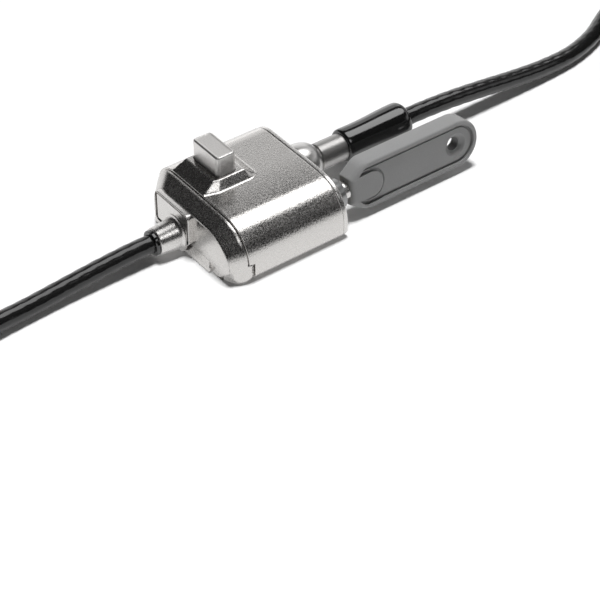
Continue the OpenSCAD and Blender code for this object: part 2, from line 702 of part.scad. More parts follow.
module button_spring() color([0.75, 0.75, 0.76]) {
    steps = spring_turns * 10;
    z0 = spring_foot + spring_wire / 2 + 0.05;
    z1 = spring_head - spring_wire / 2 - 0.05;
    r = (spring_d - spring_wire) / 2;
    sweep([for (i = [0 : steps]) let (a = 36 * i)
        [x_bolt + r * cos(a), spring_y + r * sin(a), z0 + (z1 - z0) * i / steps]], spring_wire / 2, 6);
}

// The catch slides along Y: its nose passes over the bolt's arm when the key is turned
module catch() color([0.72, 0.6, 0.35]) difference() {
    union() {
        box([catch_x0, slot_y - cam_pin_d / 2 - 0.8, key_z - 2.4],
            [catch_x0 + catch_t, slot_y + cam_pin_d / 2 + 1.4, key_z + cam_throw + 0.1]);
        box([catch_x0, slot_y, catch_z], [catch_x0 + catch_t, catch_tip, catch_z + nose_h]);
    }
    // open slot for the cam's pin
    half = cam_pin_d / 2 + slot_gap;
    box([catch_x0 - over, slot_y - half, key_z + cam_throw * cos(swing) - half],
        [catch_x0 + catch_t + over, slot_y + half, body_h]);
}

// ---------------------------------------------------------------- key cylinder

module on_key() { translate([0, key_y, key_z]) rotate([-key_tilt, 0, 0]) children(); }

module barrel() color([0.6, 0.6, 0.62]) difference() {
    at(0, key_y, key_z) union() {
        rod(x_barrel, x_right - plate_in - seat_fit, barrel_d / 2);
        rod(x_barrel, x_nose, nose_d / 2);
    }
    at(0, key_y, key_z) rod(x_barrel - over, x_nose + over, rotor_d / 2 + run_fit);
    at(x_barrel + 8, key_y, 0) cylinder(h = key_z - rotor_d / 2 - 0.5, r = 0.8 + seat_fit);
}

module barrel_pin() color([0.45, 0.45, 0.47])
    at(x_barrel + 8, key_y, 0.1) cylinder(h = key_z - rotor_d / 2 - 0.8, r = 0.8);

module rotor() color([0.78, 0.66, 0.38]) on_key() difference() {
    union() {
        rod(x_cam + cam_t + 0.1, rotor_face, rotor_d / 2);
        box([x_cam, -spigot / 2, -spigot / 2], [x_cam + cam_t + 0.2, spigot / 2, spigot / 2]);
    }
    // groove for the clip
    difference() {
        rod(x_barrel - 0.1 - clip_t - 0.1, x_barrel - 0.1, rotor_d / 2 + over);
        rod(x_barrel - 2, x_barrel + 1, clip_groove_r);
    }
    // room for the discs, and the keyway
    rod(disc_x - 0.1, rotor_face - 1.8, disc_hole_r);
    box([keyway_x, -blade_t / 2 - 0.1, -blade_w / 2 - 0.1],
        [rotor_face + over, blade_t / 2 + 0.1, blade_w / 2 + 0.1]);
}

module discs() color([0.8, 0.72, 0.5]) on_key()
    for (i = [0 : disc_count - 1]) difference() {
        rod(disc_x + i * disc_step, disc_x + i * disc_step + disc_t, disc_d / 2);
        box([disc_x - over, -blade_t / 2 - 0.1, -blade_w / 2 - 0.1],
            [rotor_face, blade_t / 2 + 0.1, blade_w / 2 + 0.1]);
    }

module rotor_clip() color([0.4, 0.4, 0.42]) on_key() difference() {
    rod(x_barrel - 0.15 - clip_t, x_barrel - 0.15, clip_r);
    rod(x_barrel - 3, x_barrel + 1, clip_groove_r + seat_fit);
    box([x_barrel - 3, -1.4, -clip_r - over], [x_barrel + 1, 1.4, 0]);
}

// The pin starts to the front of upright and swings over the top to the back
module cam() color([0.5, 0.52, 0.55]) difference() {
    at(0, key_y, key_z) union() {
        rod(x_cam, x_cam + cam_t, rotor_d / 2);
        at(0, -cam_throw * sin(swing), cam_throw * cos(swing))
            rod(catch_x0 - 0.15, x_cam + 0.1, cam_pin_d / 2, $fn = 32);
    }
    on_key() box([x_cam - over, -spigot / 2 - seat_fit, -spigot / 2 - seat_fit],
                 [x_cam + cam_t + over, spigot / 2 + seat_fit, spigot / 2 + seat_fit]);
}

module key_blade() color([0.74, 0.73, 0.71]) on_key() union() {
    box([blade_x, -blade_t / 2, -blade_w / 2], [grip_x + tang_in, blade_t / 2, blade_w / 2]);
    rod(x_nose + face_gap, grip_x - seat_fit, shoulder_d / 2);
}

// Outline of the grip, along X and across, drawn in by inset
module grip_outline(inset) {
    half = end_r - inset;
    translate([grip_l - end_r, 0]) circle(r = half, $fn = 64);
    neck = shoulder_w / 2 - inset;
    slope = shoulder_l + inset / 2;
    polygon([[inset, -neck], [inset, neck], [slope, half], [grip_l - end_r, half],
             [grip_l - end_r, -half], [slope, -half]]);
}

module grip_slab(y0, y1) {
    translate([grip_x, y1, 0]) rotate([90, 0, 0]) linear_extrude(y1 - y0) children();
}

module key_grip() color([0.42, 0.42, 0.42]) on_key() difference() {
    union() {
        grip_slab(-grip_t / 2 + 0.5, grip_t / 2 - 0.5) grip_outline(0);
        grip_slab(-grip_t / 2, grip_t / 2) grip_outline(0.5);
    }
    // a panel on each face, round the tongue that runs on from the neck
    for (side = [-1, 1]) scale([1, side, 1])
        grip_slab(-grip_t / 2 - over, -grip_t / 2 + panel_d) difference() {
            grip_outline(rim_w);
            square_between(0, tongue_end - tongue_r, -tongue_r, tongue_r);
            translate([tongue_end - tongue_r, 0]) circle(r = tongue_r);
        }
    for (side = [-1, 1]) scale([1, side, 1]) translate([grip_x + ring_x, -grip_t / 2 - over, 0])
        rotate([-90, 0, 0]) cylinder(h = over + panel_d + ring_recess_depth, r = ring_recess_d / 2);
    translate([grip_x + ring_x, -grip_t, 0]) rotate([-90, 0, 0])
        cylinder(h = 2 * grip_t, r = ring_hole_d / 2);
    box([grip_x - over, -blade_t / 2 - seat_fit, -blade_w / 2 - seat_fit],
        [grip_x + tang_in + 0.1, blade_t / 2 + seat_fit, blade_w / 2 + seat_fit]);
}

// ---------------------------------------------------------------- plug-in cable end

module plug() color([0.7, 0.7, 0.72]) at(0, plug_y, plug_z) {
    back = x_mouth - face_gap;
    groove = bolt_t / 2 + neck_gap;
    r = plug_d / 2;
    neck_r = plug_neck_d / 2;
    rim_r = rim_d / 2;
    turned([[back - rim_t, 0], [back - rim_t, rim_r - 0.2], [back - rim_t + 0.2, rim_r], [back, rim_r],
            [back, r], [x_bolt - groove, r], [x_bolt - groove, neck_r], [x_bolt + groove, neck_r],
            [x_bolt + groove, r], [x_plug_tip - 1, r], [x_plug_tip, r - 1], [x_plug_tip, 0]]);
}

module lead_cable() color([0.06, 0.06, 0.06])
    sweep(concat(lead_route, eye_route(lead_eye, -1, 1)), strand_r, 10);

module lead_ferrule() color([0.72, 0.71, 0.7]) loop_ferrule(lead_eye, -1);

// ---------------------------------------------------------------- fixed main cable

module collar() color([0.74, 0.73, 0.71]) at(0, rope_y, rope_z) {
    inner = x_right - plate_in;
    bore = strand_r + 2 * seat_fit;
    r = collar_d / 2;
    flange = inner - collar_flange_t;
    turned([[flange, bore], [flange, collar_flange_d / 2], [inner, collar_flange_d / 2],
            [inner, neck_d / 2], [x_face, neck_d / 2], [x_face, r - 0.6], [x_face + 0.6, r],
            [x_collar - 4.2, r], [x_collar - 2.8, r - 0.35], [x_collar - 1.2, r - 1.4],
            [x_collar - 0.4, r - 2], [x_collar, r - 2.6], [x_collar, bore]]);
}

module cable_stop() color([0.66, 0.66, 0.68]) at(0, rope_y, rope_z) {
    end = x_right - plate_in - collar_flange_t;
    difference() {
        rod(end - stop_l, end, stop_d / 2);
        rod(end - stop_l - over, end + over, strand_r + seat_fit);
    }
}

module cable_core() color([0.1, 0.1, 0.1]) at(0, rope_y, rope_z)
    rod(x_right - plate_in - collar_flange_t - stop_l, x_sleeve, strand_r);

module ferrule() color([0.76, 0.75, 0.73]) at(0, rope_y, rope_z) {
    r = ferrule_d / 2;
    bore = strand_r + seat_fit;
    turned([[x_collar, bore], [x_collar, r - 0.3], [x_collar + 0.3, r], [x_ferrule, r], [x_ferrule, bore]]);
}

module sleeve() color([0.04, 0.04, 0.04]) at(0, rope_y, rope_z) {
    r0 = sleeve_d / 2;
    r1 = sleeve_end_d / 2;
    bore = strand_r + seat_fit;
    turned([[x_ferrule, bore], [x_ferrule, r0 - 0.7], [x_ferrule + 0.7, r0],
            [x_ferrule + sleeve_l * 0.35, r0 - 0.1], [x_ferrule + sleeve_l * 0.7, r1 - 0.15],
            [x_sleeve - 2.4, r1], [x_sleeve - 1, r1 - 0.6], [x_sleeve - 0.2, r1 - 1.6],
            [x_sleeve, r1 - 2.2], [x_sleeve, bore]]);
}

// The free run goes straight into the hank, and the tail straight out of it
module cable() color([0.06, 0.06, 0.06])
    sweep(concat(cable_route, [for (i = [2, 1]) hank_first - [i * hank_lead, 0, 0]]), strand_r, 10);

module cable_hank() color([0.07, 0.07, 0.07]) sweep(hank_route, strand_r, 6);

module cable_tail() color([0.06, 0.06, 0.06])
    sweep(concat([for (i = [1, 2]) hank_last + [i * hank_lead, 0, 0]], tail_route,
                 eye_route(tail_eye, -1, -1)), strand_r, 10);

module eye_ferrule() color([0.72, 0.71, 0.7]) loop_ferrule(tail_eye, -1);

module hank_tie() color([0.12, 0.12, 0.13]) {
    half = hank_r * (1 - hank_waist) + strand_r + 0.4;
    top = hank_z + hank_rise * (hank_layers - 1) + strand_r + 0.15;
    low = hank_z - strand_r - 0.1;
    translate([hank_at[0], hank_at[1], 0]) along_x(-tie_w / 2, tie_w / 2) difference() {
        square_between(-half - tie_t, half + tie_t, low - tie_t, top + tie_t);
        square_between(-half, half, low, top);
    }
}

cover();
base_plate();
end_cap();
end_plate();
cover_screws();
inner_block();
block_screws();
button();
bolt();
button_pin();
button_spring();
catch();
barrel();
barrel_pin();
rotor();
discs();
rotor_clip();
cam();
key_blade();
key_grip();
plug();
lead_cable();
lead_ferrule();
collar();
cable_stop();
cable_core();
ferrule();
sleeve();
cable();
cable_hank();
cable_tail();
eye_ferrule();
hank_tie();
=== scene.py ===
"""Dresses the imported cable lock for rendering.

Each sub-assembly is a class that holds its sizes, builds its meshes and gives them
their finishes. Sizes and places are in millimetres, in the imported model's own frame:
X runs along the cables, Y to the back and Z up. Meshes are scaled to metres as they
are made.
"""

from __future__ import annotations

import json
import logging
from dataclasses import dataclass, field
from enum import Enum
from math import atan2, cos, hypot, pi, radians, sin, sqrt
from typing import Any, Iterable, Sequence

import bmesh
import bpy
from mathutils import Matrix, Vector


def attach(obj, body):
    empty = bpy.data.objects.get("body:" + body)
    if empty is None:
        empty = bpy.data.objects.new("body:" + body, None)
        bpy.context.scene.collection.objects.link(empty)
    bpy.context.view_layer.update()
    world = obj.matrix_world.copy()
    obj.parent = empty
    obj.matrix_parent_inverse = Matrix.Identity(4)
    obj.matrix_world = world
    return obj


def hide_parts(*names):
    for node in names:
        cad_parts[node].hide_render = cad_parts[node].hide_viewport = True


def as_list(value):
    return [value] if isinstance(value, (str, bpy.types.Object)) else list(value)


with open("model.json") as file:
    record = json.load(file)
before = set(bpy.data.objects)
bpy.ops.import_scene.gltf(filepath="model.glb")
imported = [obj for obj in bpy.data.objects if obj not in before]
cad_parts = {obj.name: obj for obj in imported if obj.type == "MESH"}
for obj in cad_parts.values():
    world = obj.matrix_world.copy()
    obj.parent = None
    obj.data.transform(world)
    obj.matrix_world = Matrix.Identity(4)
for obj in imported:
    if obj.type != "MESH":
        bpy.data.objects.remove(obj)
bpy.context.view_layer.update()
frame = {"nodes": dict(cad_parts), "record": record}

LOG = logging.getLogger("cable_lock")
MM = 0.001
# The least angle, in degrees, of an edge that is shaded as sharp or rounded off.
SHARP = 32.0

Point2 = tuple[float, float]
Point3 = tuple[float, float, float]
Faces = list[tuple[int, ...]]
Colour = tuple[float, float, float, float]

# The Y and Z of the lines that the key, the main cable and the plug lie on.
KEY_AT: Point2 = (-13.0, 8.7)
ROPE_AT: Point2 = (3.8, 7.6)
PLUG_AT: Point2 = (3.0, 4.6)
# The X and Y of the button's middle.
BUTTON_AT: Point2 = (-3.65, 6.9)


# ------------------------------------------------------------------ shaders


class Signal:
    """A node's output that takes part in Python arithmetic."""

    def __init__(self, paint: "Shades", socket: bpy.types.NodeSocket) -> None:
        """Keeps the node tree's owner and the socket."""
        self.paint = paint
        self.socket = socket

    def _math(self, operation: str, first: Any, second: Any) -> "Signal":
        """Adds one Math node.

        Args:
            operation: The Math node's operation.
            first: Its first value or link.
            second: Its second value or link.

        Returns:
            The node's output.
        """
        return self.paint.node("ShaderNodeMath", {"operation": operation}, {0: first, 1: second})

    def __add__(self, other: Any) -> "Signal":
        """Adds a value or a signal."""
        return self._math("ADD", self, other)

    __radd__ = __add__

    def __mul__(self, other: Any) -> "Signal":
        """Multiplies by a value or a signal."""
        return self._math("MULTIPLY", self, other)

    __rmul__ = __mul__


class Shades:
    """A node tree that is written as arithmetic."""

    def __init__(self, tree: bpy.types.NodeTree) -> None:
        """Keeps the tree."""
        self.tree = tree

    def feed(self, socket: bpy.types.NodeSocket, value: Any) -> None:
        """Links a signal to a socket, or sets the socket's value.

        Args:
            socket: The socket.
            value: A signal, or a plain value.
        """
        if isinstance(value, Signal):
            self.tree.links.new(value.socket, socket)
        else:
            socket.default_value = value

    def node(
        self,
        kind: str,
        settings: dict[str, Any] | None = None,
        values: dict[Any, Any] | None = None,
        output: int | str = 0,
    ) -> Signal:
        """Adds a node.

        Args:
            kind: The node's type.
            settings: The node's own settings. "stops" are a ramp's places and colours.
            values: Values or signals for its inputs, by name or index.
            output: The name or index of the output that is returned.

        Returns:
            The output, as a signal.
        """
        made = self.tree.nodes.new(kind)
        for key, value in (settings or {}).items():
            if key == "stops":
                elements = made.color_ramp.elements
                while len(elements) < len(value):
                    elements.new(1.0)
                for element, (place, tone) in zip(elements, value):
                    element.position = place
                    element.color = (tone, tone, tone, 1.0)
            else:
                setattr(made, key, value)
        for key, value in (values or {}).items():
            self.feed(made.inputs[key], value)
        return Signal(self, made.outputs[output])

    def place(self, stretch: Point3 = (1.0, 1.0, 1.0), turn: Point3 = (0.0, 0.0, 0.0)) -> Signal:
        """Gives the point on the piece.

        Args:
            stretch: Scale along each axis.
            turn: Turn about each axis, in degrees.

        Returns:
            The point, in metres before the stretch.
        """
        where = self.node("ShaderNodeTexCoord", output="Object")
        values = {"Vector": where, "Scale": stretch, "Rotation": angles(*turn)}
        return self.node("ShaderNodeMapping", {}, values)

    def noise(self, where: Signal, size: float, detail: float = 2.0) -> Signal:
        """Gives a noise from 0 to 1 whose features are about size millimetres wide."""
        values = {"Vector": where, "Scale": 1.0 / (size * MM), "Detail": detail}
        return self.node("ShaderNodeTexNoise", {}, values)

    def ramp(self, signal: Signal, stops: Sequence[tuple[float, float]]) -> Signal:
        """Maps a signal through grey stops of place and tone."""
        return self.node("ShaderNodeValToRGB", {"stops": stops}, {"Fac": signal})

    def mix(self, factor: Any, low: Any, high: Any) -> Signal:
        """Mixes two colours."""
        return self.node("ShaderNodeMix", {"data_type": "RGBA"}, {0: factor, 6: low, 7: high}, 2)

    def bump(self, height: Signal, depth: float, strength: float = 1.0) -> Signal:
        """Turns a height from 0 to 1 into a normal, for a relief depth millimetres deep."""
        values = {"Height": height, "Distance": depth * MM, "Strength": strength}
        return self.node("ShaderNodeBump", {}, values)


class Room(Shades):
    """The world's node tree."""

    def __init__(self, world: bpy.types.World) -> None:
        """Starts from the world's own background node."""
        super().__init__(world.node_tree)

    def towards(self, axis: Point3) -> Signal:
        """Gives how far the direction looked in points along an axis."""
        where = self.node("ShaderNodeTexCoord", output="Generated")
        return self.node("ShaderNodeVectorMath", {"operation": "DOT_PRODUCT"}, {0: where, 1: axis}, "Value")


class Paint(Shades):
    """One material's node tree, with a Principled shader at its end."""

    def __init__(self, name: str) -> None:
        """Makes an empty material that holds only its shader and output.

        Args:
            name: The material's name.
        """
        self.material = bpy.data.materials.new(name)
        self.material.use_nodes = True
        super().__init__(self.material.node_tree)
        self.tree.nodes.clear()
        self.shader = self.tree.nodes.new("ShaderNodeBsdfPrincipled")
        output = self.tree.nodes.new("ShaderNodeOutputMaterial")
        self.tree.links.new(self.shader.outputs[0], output.inputs["Surface"])

    def shade(self, **values: Any) -> bpy.types.Material:
        """Sets the shader's inputs, written with _ for a space, and gives the material.

        Args:
            values: Values or signals by the inputs' names.

        Returns:
            The material.
        """
        for key, value in values.items():
            self.feed(self.shader.inputs[key.replace("_", " ")], value)
        return self.material


def grey(tone: float, warmth: float = 0.0) -> Colour:
    """Gives a grey colour, warmer where warmth is above 0."""
    return (tone * (1 + warmth), tone, tone * (1 - warmth), 1.0)


@dataclass(frozen=True)
class CastNickel:
    """Nickel plate over a blasted casting: a fine sparkling grain."""

    tone: float
    warmth: float
    roughness: float
    grain: float
    depth: float
    contrast: float

    def paint(self, name: str) -> bpy.types.Material:
        """Makes the material.

        Args:
            name: The material's name.

        Returns:
            The material.
        """
        work = Paint(name)
        where = work.place()
        grain = work.noise(where, self.grain, 3.0)
        cloud = work.noise(where, 9.0, 2.0)
        fine = work.ramp(grain, [(0.36, 0.0), (0.64, 1.0)])
        low = grey(self.tone * (1 - self.contrast), self.warmth)
        high = grey(self.tone * (1 + 0.4 * self.contrast), self.warmth)
        return work.shade(
            Base_Color=work.mix(fine, low, high),
            Metallic=1.0,
            Roughness=self.roughness + 0.10 * fine + 0.06 * cloud,
            Normal=work.bump(fine, self.depth),
        )


@dataclass(frozen=True)
class TurnedMetal:
    """Metal with fine lathe marks round the X axis."""

    tone: float
    warmth: float
    roughness: float
    mark: float
    depth: float

    def paint(self, name: str) -> bpy.types.Material:
        """Makes the material.

        Args:
            name: The material's name.

        Returns:
            The material.
        """
        work = Paint(name)
        marks = work.noise(work.place((1.0, 0.04, 0.04)), self.mark, 3.0)
        cloud = work.noise(work.place(), 3.0, 3.0)
        low = grey(self.tone * 0.90, self.warmth)
        high = grey(self.tone * 1.05, self.warmth)
        return work.shade(
            Base_Color=work.mix(cloud, low, high),
            Metallic=1.0,
            Roughness=self.roughness + 0.10 * marks + 0.05 * cloud,
            Normal=work.bump(marks, self.depth),
        )


@dataclass(frozen=True)
class Brass:
    """Machined brass with a soft tarnish."""

    bright: Colour
    dull: Colour
    roughness: float

    def paint(self, name: str) -> bpy.types.Material:
        """Makes the material.

        Args:
            name: The material's name.

        Returns:
            The material.
        """
        work = Paint(name)
        where = work.place()
        tarnish = work.ramp(work.noise(where, 2.5, 4.0), [(0.4, 0.0), (0.7, 1.0)])
        marks = work.noise(where, 0.15, 2.0)
        return work.shade(
            Base_Color=work.mix(tarnish, self.bright, self.dull),
            Metallic=1.0,
            Roughness=self.roughness + 0.15 * tarnish,
            Normal=work.bump(marks, 0.004),
        )


@dataclass(frozen=True)
class Vinyl:
    """Glossy black plastic with faint scuffs and a soft unevenness."""

    tone: float
    roughness: float
    wave: float
    depth: float
    index: float

    def paint(self, name: str) -> bpy.types.Material:
        """Makes the material.

        Args:
            name: The material's name.

        Returns:
            The material.
        """
        work = Paint(name)
        where = work.place()
        scuff = work.ramp(work.noise(work.place((0.3, 1.0, 1.0)), 0.8, 4.0), [(0.55, 0.0), (0.8, 1.0)])
        swell = work.noise(where, self.wave, 2.0)
        return work.shade(
            Base_Color=work.mix(scuff, grey(self.tone), grey(self.tone * 2.2)),
            Metallic=0.0,
            Roughness=self.roughness + 0.12 * scuff,
            IOR=self.index,
            Normal=work.bump(swell, self.depth),
        )


@dataclass(frozen=True)
class MattePlastic:
    """Moulded plastic with a fine spark-eroded texture."""

    tone: float
    roughness: float
    grain: float
    depth: float

    def paint(self, name: str) -> bpy.types.Material:
        """Makes the material.

        Args:
            name: The material's name.

        Returns:
            The material.
        """
        work = Paint(name)
        where = work.place()
        grain = work.noise(where, self.grain, 3.0)
        cloud = work.noise(where, 7.0, 3.0)
        tone = work.mix(grain, grey(self.tone * 0.86), grey(self.tone * 1.10))
        return work.shade(
            Base_Color=work.mix(0.25 * cloud, tone, grey(self.tone * 1.35)),
            Metallic=0.0,
            Roughness=self.roughness + 0.10 * grain,
            Normal=work.bump(grain, self.depth),
        )


@dataclass(frozen=True)
class WovenStrap:
    """A woven nylon strap."""

    tone: float
    pitch: float

    def paint(self, name: str) -> bpy.types.Material:
        """Makes the material.

        Args:
            name: The material's name.

        Returns:
            The material.
        """
        work = Paint(name)
        scale = 1.0 / (self.pitch * MM)
        waves = []
        for axis in ("X", "Y"):
            values = {"Vector": work.place(), "Scale": scale}
            waves.append(work.node("ShaderNodeTexWave", {"bands_direction": axis}, values))
        weave = waves[0] * waves[1]
        fuzz = work.noise(work.place(), 0.2, 3.0)
        return work.shade(
            Base_Color=work.mix(weave, grey(self.tone * 0.6), grey(self.tone * 1.5)),
            Metallic=0.0,
            Roughness=0.75 + 0.15 * fuzz,
            Normal=work.bump(weave, 0.15),
        )


class Finish(Enum):
    """The finishes, each with the record's material slot that it stands for."""

    CAST = ("satin_nickel", CastNickel(0.62, 0.025, 0.17, 0.42, 0.011, 0.06))
    END = ("satin_end", CastNickel(0.66, 0.02, 0.20, 0.30, 0.005, 0.05))
    BUTTON = ("satin_end", CastNickel(0.74, 0.02, 0.30, 0.36, 0.009, 0.08))
    POLISHED = ("polished_nickel", TurnedMetal(0.60, 0.015, 0.24, 0.25, 0.002))
    CRIMPED = ("polished_nickel", TurnedMetal(0.38, 0.02, 0.29, 0.25, 0.003))
    # The nose's finish is darker than the other metal: painted shade for the shade between the key grip and
    # the end plate.
    NOSE = ("satin_end", TurnedMetal(0.30, 0.0, 0.22, 0.30, 0.006))
    STEEL = ("zinc_steel", TurnedMetal(0.55, 0.0, 0.34, 0.20, 0.005))
    BRASS = ("brass", Brass((0.78, 0.60, 0.28, 1.0), (0.50, 0.38, 0.20, 1.0), 0.28))
    CABLE = ("black_vinyl", Vinyl(0.010, 0.15, 3.0, 0.02, 1.55))
    SLEEVE = ("black_sleeve", Vinyl(0.005, 0.13, 6.0, 0.03, 1.8))
    KEY = ("grey_plastic", MattePlastic(0.27, 0.50, 0.30, 0.012))
    STRAP = ("black_tie", WovenStrap(0.03, 1.1))

    @property
    def slot(self) -> str:
        """The record's material slot."""
        return self.value[0]

    def material(self) -> bpy.types.Material:
        """Gives the finish's material, made once."""
        name = "finish_" + self.name.lower()
        return bpy.data.materials.get(name) or self.value[1].paint(name)


# ------------------------------------------------------------------ outlines


def arc(centre: Point2, radius: float, start: float, end: float, steps: int) -> list[Point2]:
    """Gives points on an arc.

    Args:
        centre: The arc's centre.
        radius: Its radius.
        start: The first point's angle, in degrees.
        end: The last point's angle.
        steps: The number of stretches.

    Returns:
        The points, both ends included.
    """
    angles = [radians(start + (end - start) * i / steps) for i in range(steps + 1)]
    return [(centre[0] + radius * cos(a), centre[1] + radius * sin(a)) for a in angles]


def angles(*degrees: float) -> list[float]:
    """Gives angles in radians."""
    return [radians(angle) for angle in degrees]


def line(start: Point2, end: Point2, steps: int) -> list[Point2]:
    """Gives the points between two ends, without the ends."""
    share = [i / steps for i in range(1, steps)]
    return [(start[0] + (end[0] - start[0]) * t, start[1] + (end[1] - start[1]) * t) for t in share]


def circle(centre: Point2, radius: float, steps: int) -> list[Point2]:
    """Gives a closed round outline."""
    return arc(centre, radius, 0.0, 360.0, steps)[:-1]


def round_corners(corners: Sequence[tuple[float, float, float]], steps: int = 8) -> list[Point2]:
    """Rounds the corners of an outline.

    Args:
        corners: Each corner's place and radius.
        steps: Stretches on each rounded corner.

    Returns:
        The closed outline.
    """
    made: list[Point2] = []
    count = len(corners)
    for i, (x, y, radius) in enumerate(corners):
        here = Vector((x, y))
        before = (Vector(corners[i - 1][:2]) - here).normalized()
        after = (Vector(corners[(i + 1) % count][:2]) - here).normalized()
        half = before.angle(after) / 2
        if radius <= 0 or abs(half - pi / 2) < 0.01:
            made.append((x, y))
            continue
        reach = radius / (sin(half) / cos(half))
        middle = here + (before + after).normalized() * (radius / sin(half))
        first, last = here + before * reach - middle, here + after * reach - middle
        start = atan2(first.y, first.x)
        sweep = (atan2(last.y, last.x) - start + pi) % (2 * pi) - pi
        for k in range(steps + 1):
            a = start + sweep * k / steps
            made.append((middle.x + radius * cos(a), middle.y + radius * sin(a)))
    return made


def round_rect(width: float, height: float, radius: float, centre: Point2 = (0.0, 0.0)) -> list[Point2]:
    """Gives a rectangle with rounded corners.

    Args:
        width: Its first side.
        height: Its second side.
        radius: The corners' radius.
        centre: Its middle.

    Returns:
        The closed outline.
    """
    w, h = width / 2, height / 2
    corners = [(-w, -h), (w, -h), (w, h), (-w, h)]
    return round_corners([(centre[0] + x, centre[1] + y, radius) for x, y in corners])


def ease(share: float) -> float:
    """Gives a smooth step from 0 to 1 as share goes from 0 to 1."""
    held = min(max(share, 0.0), 1.0)
    return held * held * (3 - 2 * held)


def smooth_most(a: float, b: float, reach: float) -> float:
    """Gives the larger of two values, with a fillet where they meet."""
    return max(a, b) + max(reach - abs(a - b), 0.0) ** 2 / (4 * reach)


# ------------------------------------------------------------------ meshes


@dataclass
class Solid:
    """A mesh in the making, in millimetres."""

    points: list[Point3] = field(default_factory=list)
    faces: Faces = field(default_factory=list)

    def add_loop(self, points: Iterable[Point3]) -> list[int]:
        """Adds points and gives their indices.

        Args:
            points: The points.

        Returns:
            Their indices.
        """
        first = len(self.points)
        self.points.extend(points)
        return list(range(first, len(self.points)))

    def bridge(self, low: list[int], high: list[int], closed: bool = True) -> None:
        """Joins two loops of the same length with quads.

        Args:
            low: The first loop.
            high: The second loop.
            closed: Whether the last points are joined to the first ones.
        """
        count = len(low)
        for i in range(count if closed else count - 1):
            j = (i + 1) % count
            self.faces.append((low[i], low[j], high[j], high[i]))

    def cap(self, loop: list[int]) -> None:
        """Closes a loop with one face."""
        self.faces.append(tuple(loop))

    def loft(self, rings: Sequence[list[int]], capped: bool = True) -> None:
        """Joins loops one after another, and closes both ends where capped.

        Args:
            rings: The loops, in order.
            capped: Whether the first and the last loop are filled.
        """
        for low, high in zip(rings, rings[1:]):
            self.bridge(low, high)
        if capped:
            self.cap(rings[0])
            self.cap(rings[-1])

    def lathe(self, profile: Sequence[Point2], middle: Point2, closed: bool = False, steps: int = 96) -> None:
        """Turns a profile about a line along X.

        Args:
            profile: Points of place along X and radius.
            middle: The line's Y and Z.
            closed: Whether the profile is a closed loop, as for a tube.
            steps: Stretches round the turn.
        """
        rings = []
        for x, r in profile:
            turn = [2 * pi * i / steps for i in range(steps)]
            rings.append(self.add_loop((x, middle[0] + r * cos(a), middle[1] + r * sin(a)) for a in turn))
        self.loft(rings, capped=not closed)
        if closed:
            self.bridge(rings[-1], rings[0])

    def fill(self, loops: Sequence[list[int]]) -> None:
        """Fills a flat face that has holes with triangles.

        Args:
            loops: The outer loop and its holes, all in one plane.
        """
        work = bmesh.new()
        back: list[int] = []
        edges = []
        for loop in loops:
            made = [work.verts.new(self.points[i]) for i in loop]
            back.extend(loop)
            edges += [work.edges.new((a, b)) for a, b in zip(made, made[1:] + made[:1])]
        work.verts.index_update()
        bmesh.ops.triangle_fill(work, use_beauty=True, use_dissolve=False, edges=edges)
        work.verts.index_update()
        for face in work.faces:
            self.faces.append(tuple(back[v.index] for v in face.verts))
        work.free()


@dataclass
class Piece:
    """A finished object on one body of the model."""

    name: str
    solid: Solid
    finish: Finish
    body: str = "housing"
    sharp: float = SHARP
    bevel: float = 0.0
    steps: int = 3

    def make(self, *nodes: str) -> bpy.types.Object:
        """Makes the object.

        Args:
            nodes: The CAD nodes that it stands for.

        Returns:
            The object, riding on its body.
        """
        mesh = bpy.data.meshes.new(self.name)
        work = bmesh.new()
        made = [work.verts.new(Vector(p) * MM) for p in self.solid.points]
        for face in self.solid.faces:
            if len(set(face)) > 2 and not work.faces.get([made[i] for i in face]):
                work.faces.new([made[i] for i in face])
        loose = [v for v in work.verts if not v.link_faces]
        bmesh.ops.delete(work, geom=loose, context="VERTS")
        bmesh.ops.recalc_face_normals(work, faces=work.faces)
        for face in work.faces:
            face.smooth = True
        work.to_mesh(mesh)
        work.free()
        mesh.set_sharp_from_angle(angle=radians(self.sharp))
        made_object = bpy.data.objects.new(self.name, mesh)
        bpy.context.scene.collection.objects.link(made_object)
        mesh.materials.append(self.finish.material())
        if self.bevel:
            round_edges(made_object, self.bevel, self.steps)
        if nodes:
            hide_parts(*nodes)
        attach(made_object, self.body)
        LOG.info("%s: %d faces on %s", self.name, len(mesh.polygons), self.body)
        return made_object


def round_edges(
    target: bpy.types.Object, width: float, steps: int = 3, angle: float = SHARP
) -> None:
    """Rounds an object's sharp edges.

    Args:
        target: The object.
        width: The rounding's width, in millimetres.
        steps: Stretches across the rounding.
        angle: The least angle of an edge that is rounded, in degrees.
    """
    bevel = target.modifiers.new("rounded", "BEVEL")
    bevel.width = width * MM
    bevel.segments = steps
    bevel.limit_method = "ANGLE"
    bevel.angle_limit = radians(angle)
    bevel.harden_normals = True


def carve(target: bpy.types.Object, cutter: Solid) -> None:
    """Cuts a solid out of an object, and keeps only the result.

    Args:
        target: The object that is cut.
        cutter: The solid that is taken away.
    """
    tool = Piece("cutter", cutter, Finish.STEEL).make()
    cut = target.modifiers.new("cut", "BOOLEAN")
    cut.operation = "DIFFERENCE"
    cut.solver = "EXACT"
    cut.object = tool
    bpy.context.view_layer.update()
    graph = bpy.context.evaluated_depsgraph_get()
    old = target.data
    result = bpy.data.meshes.new_from_object(target.evaluated_get(graph))
    target.modifiers.remove(cut)
    target.data = result
    result.name = old.name
    bpy.data.meshes.remove(old)
    bpy.data.objects.remove(tool)
    while len(result.materials) > 1:
        result.materials.pop()
    result.set_sharp_from_angle(angle=radians(SHARP))


# ------------------------------------------------------------------ housing


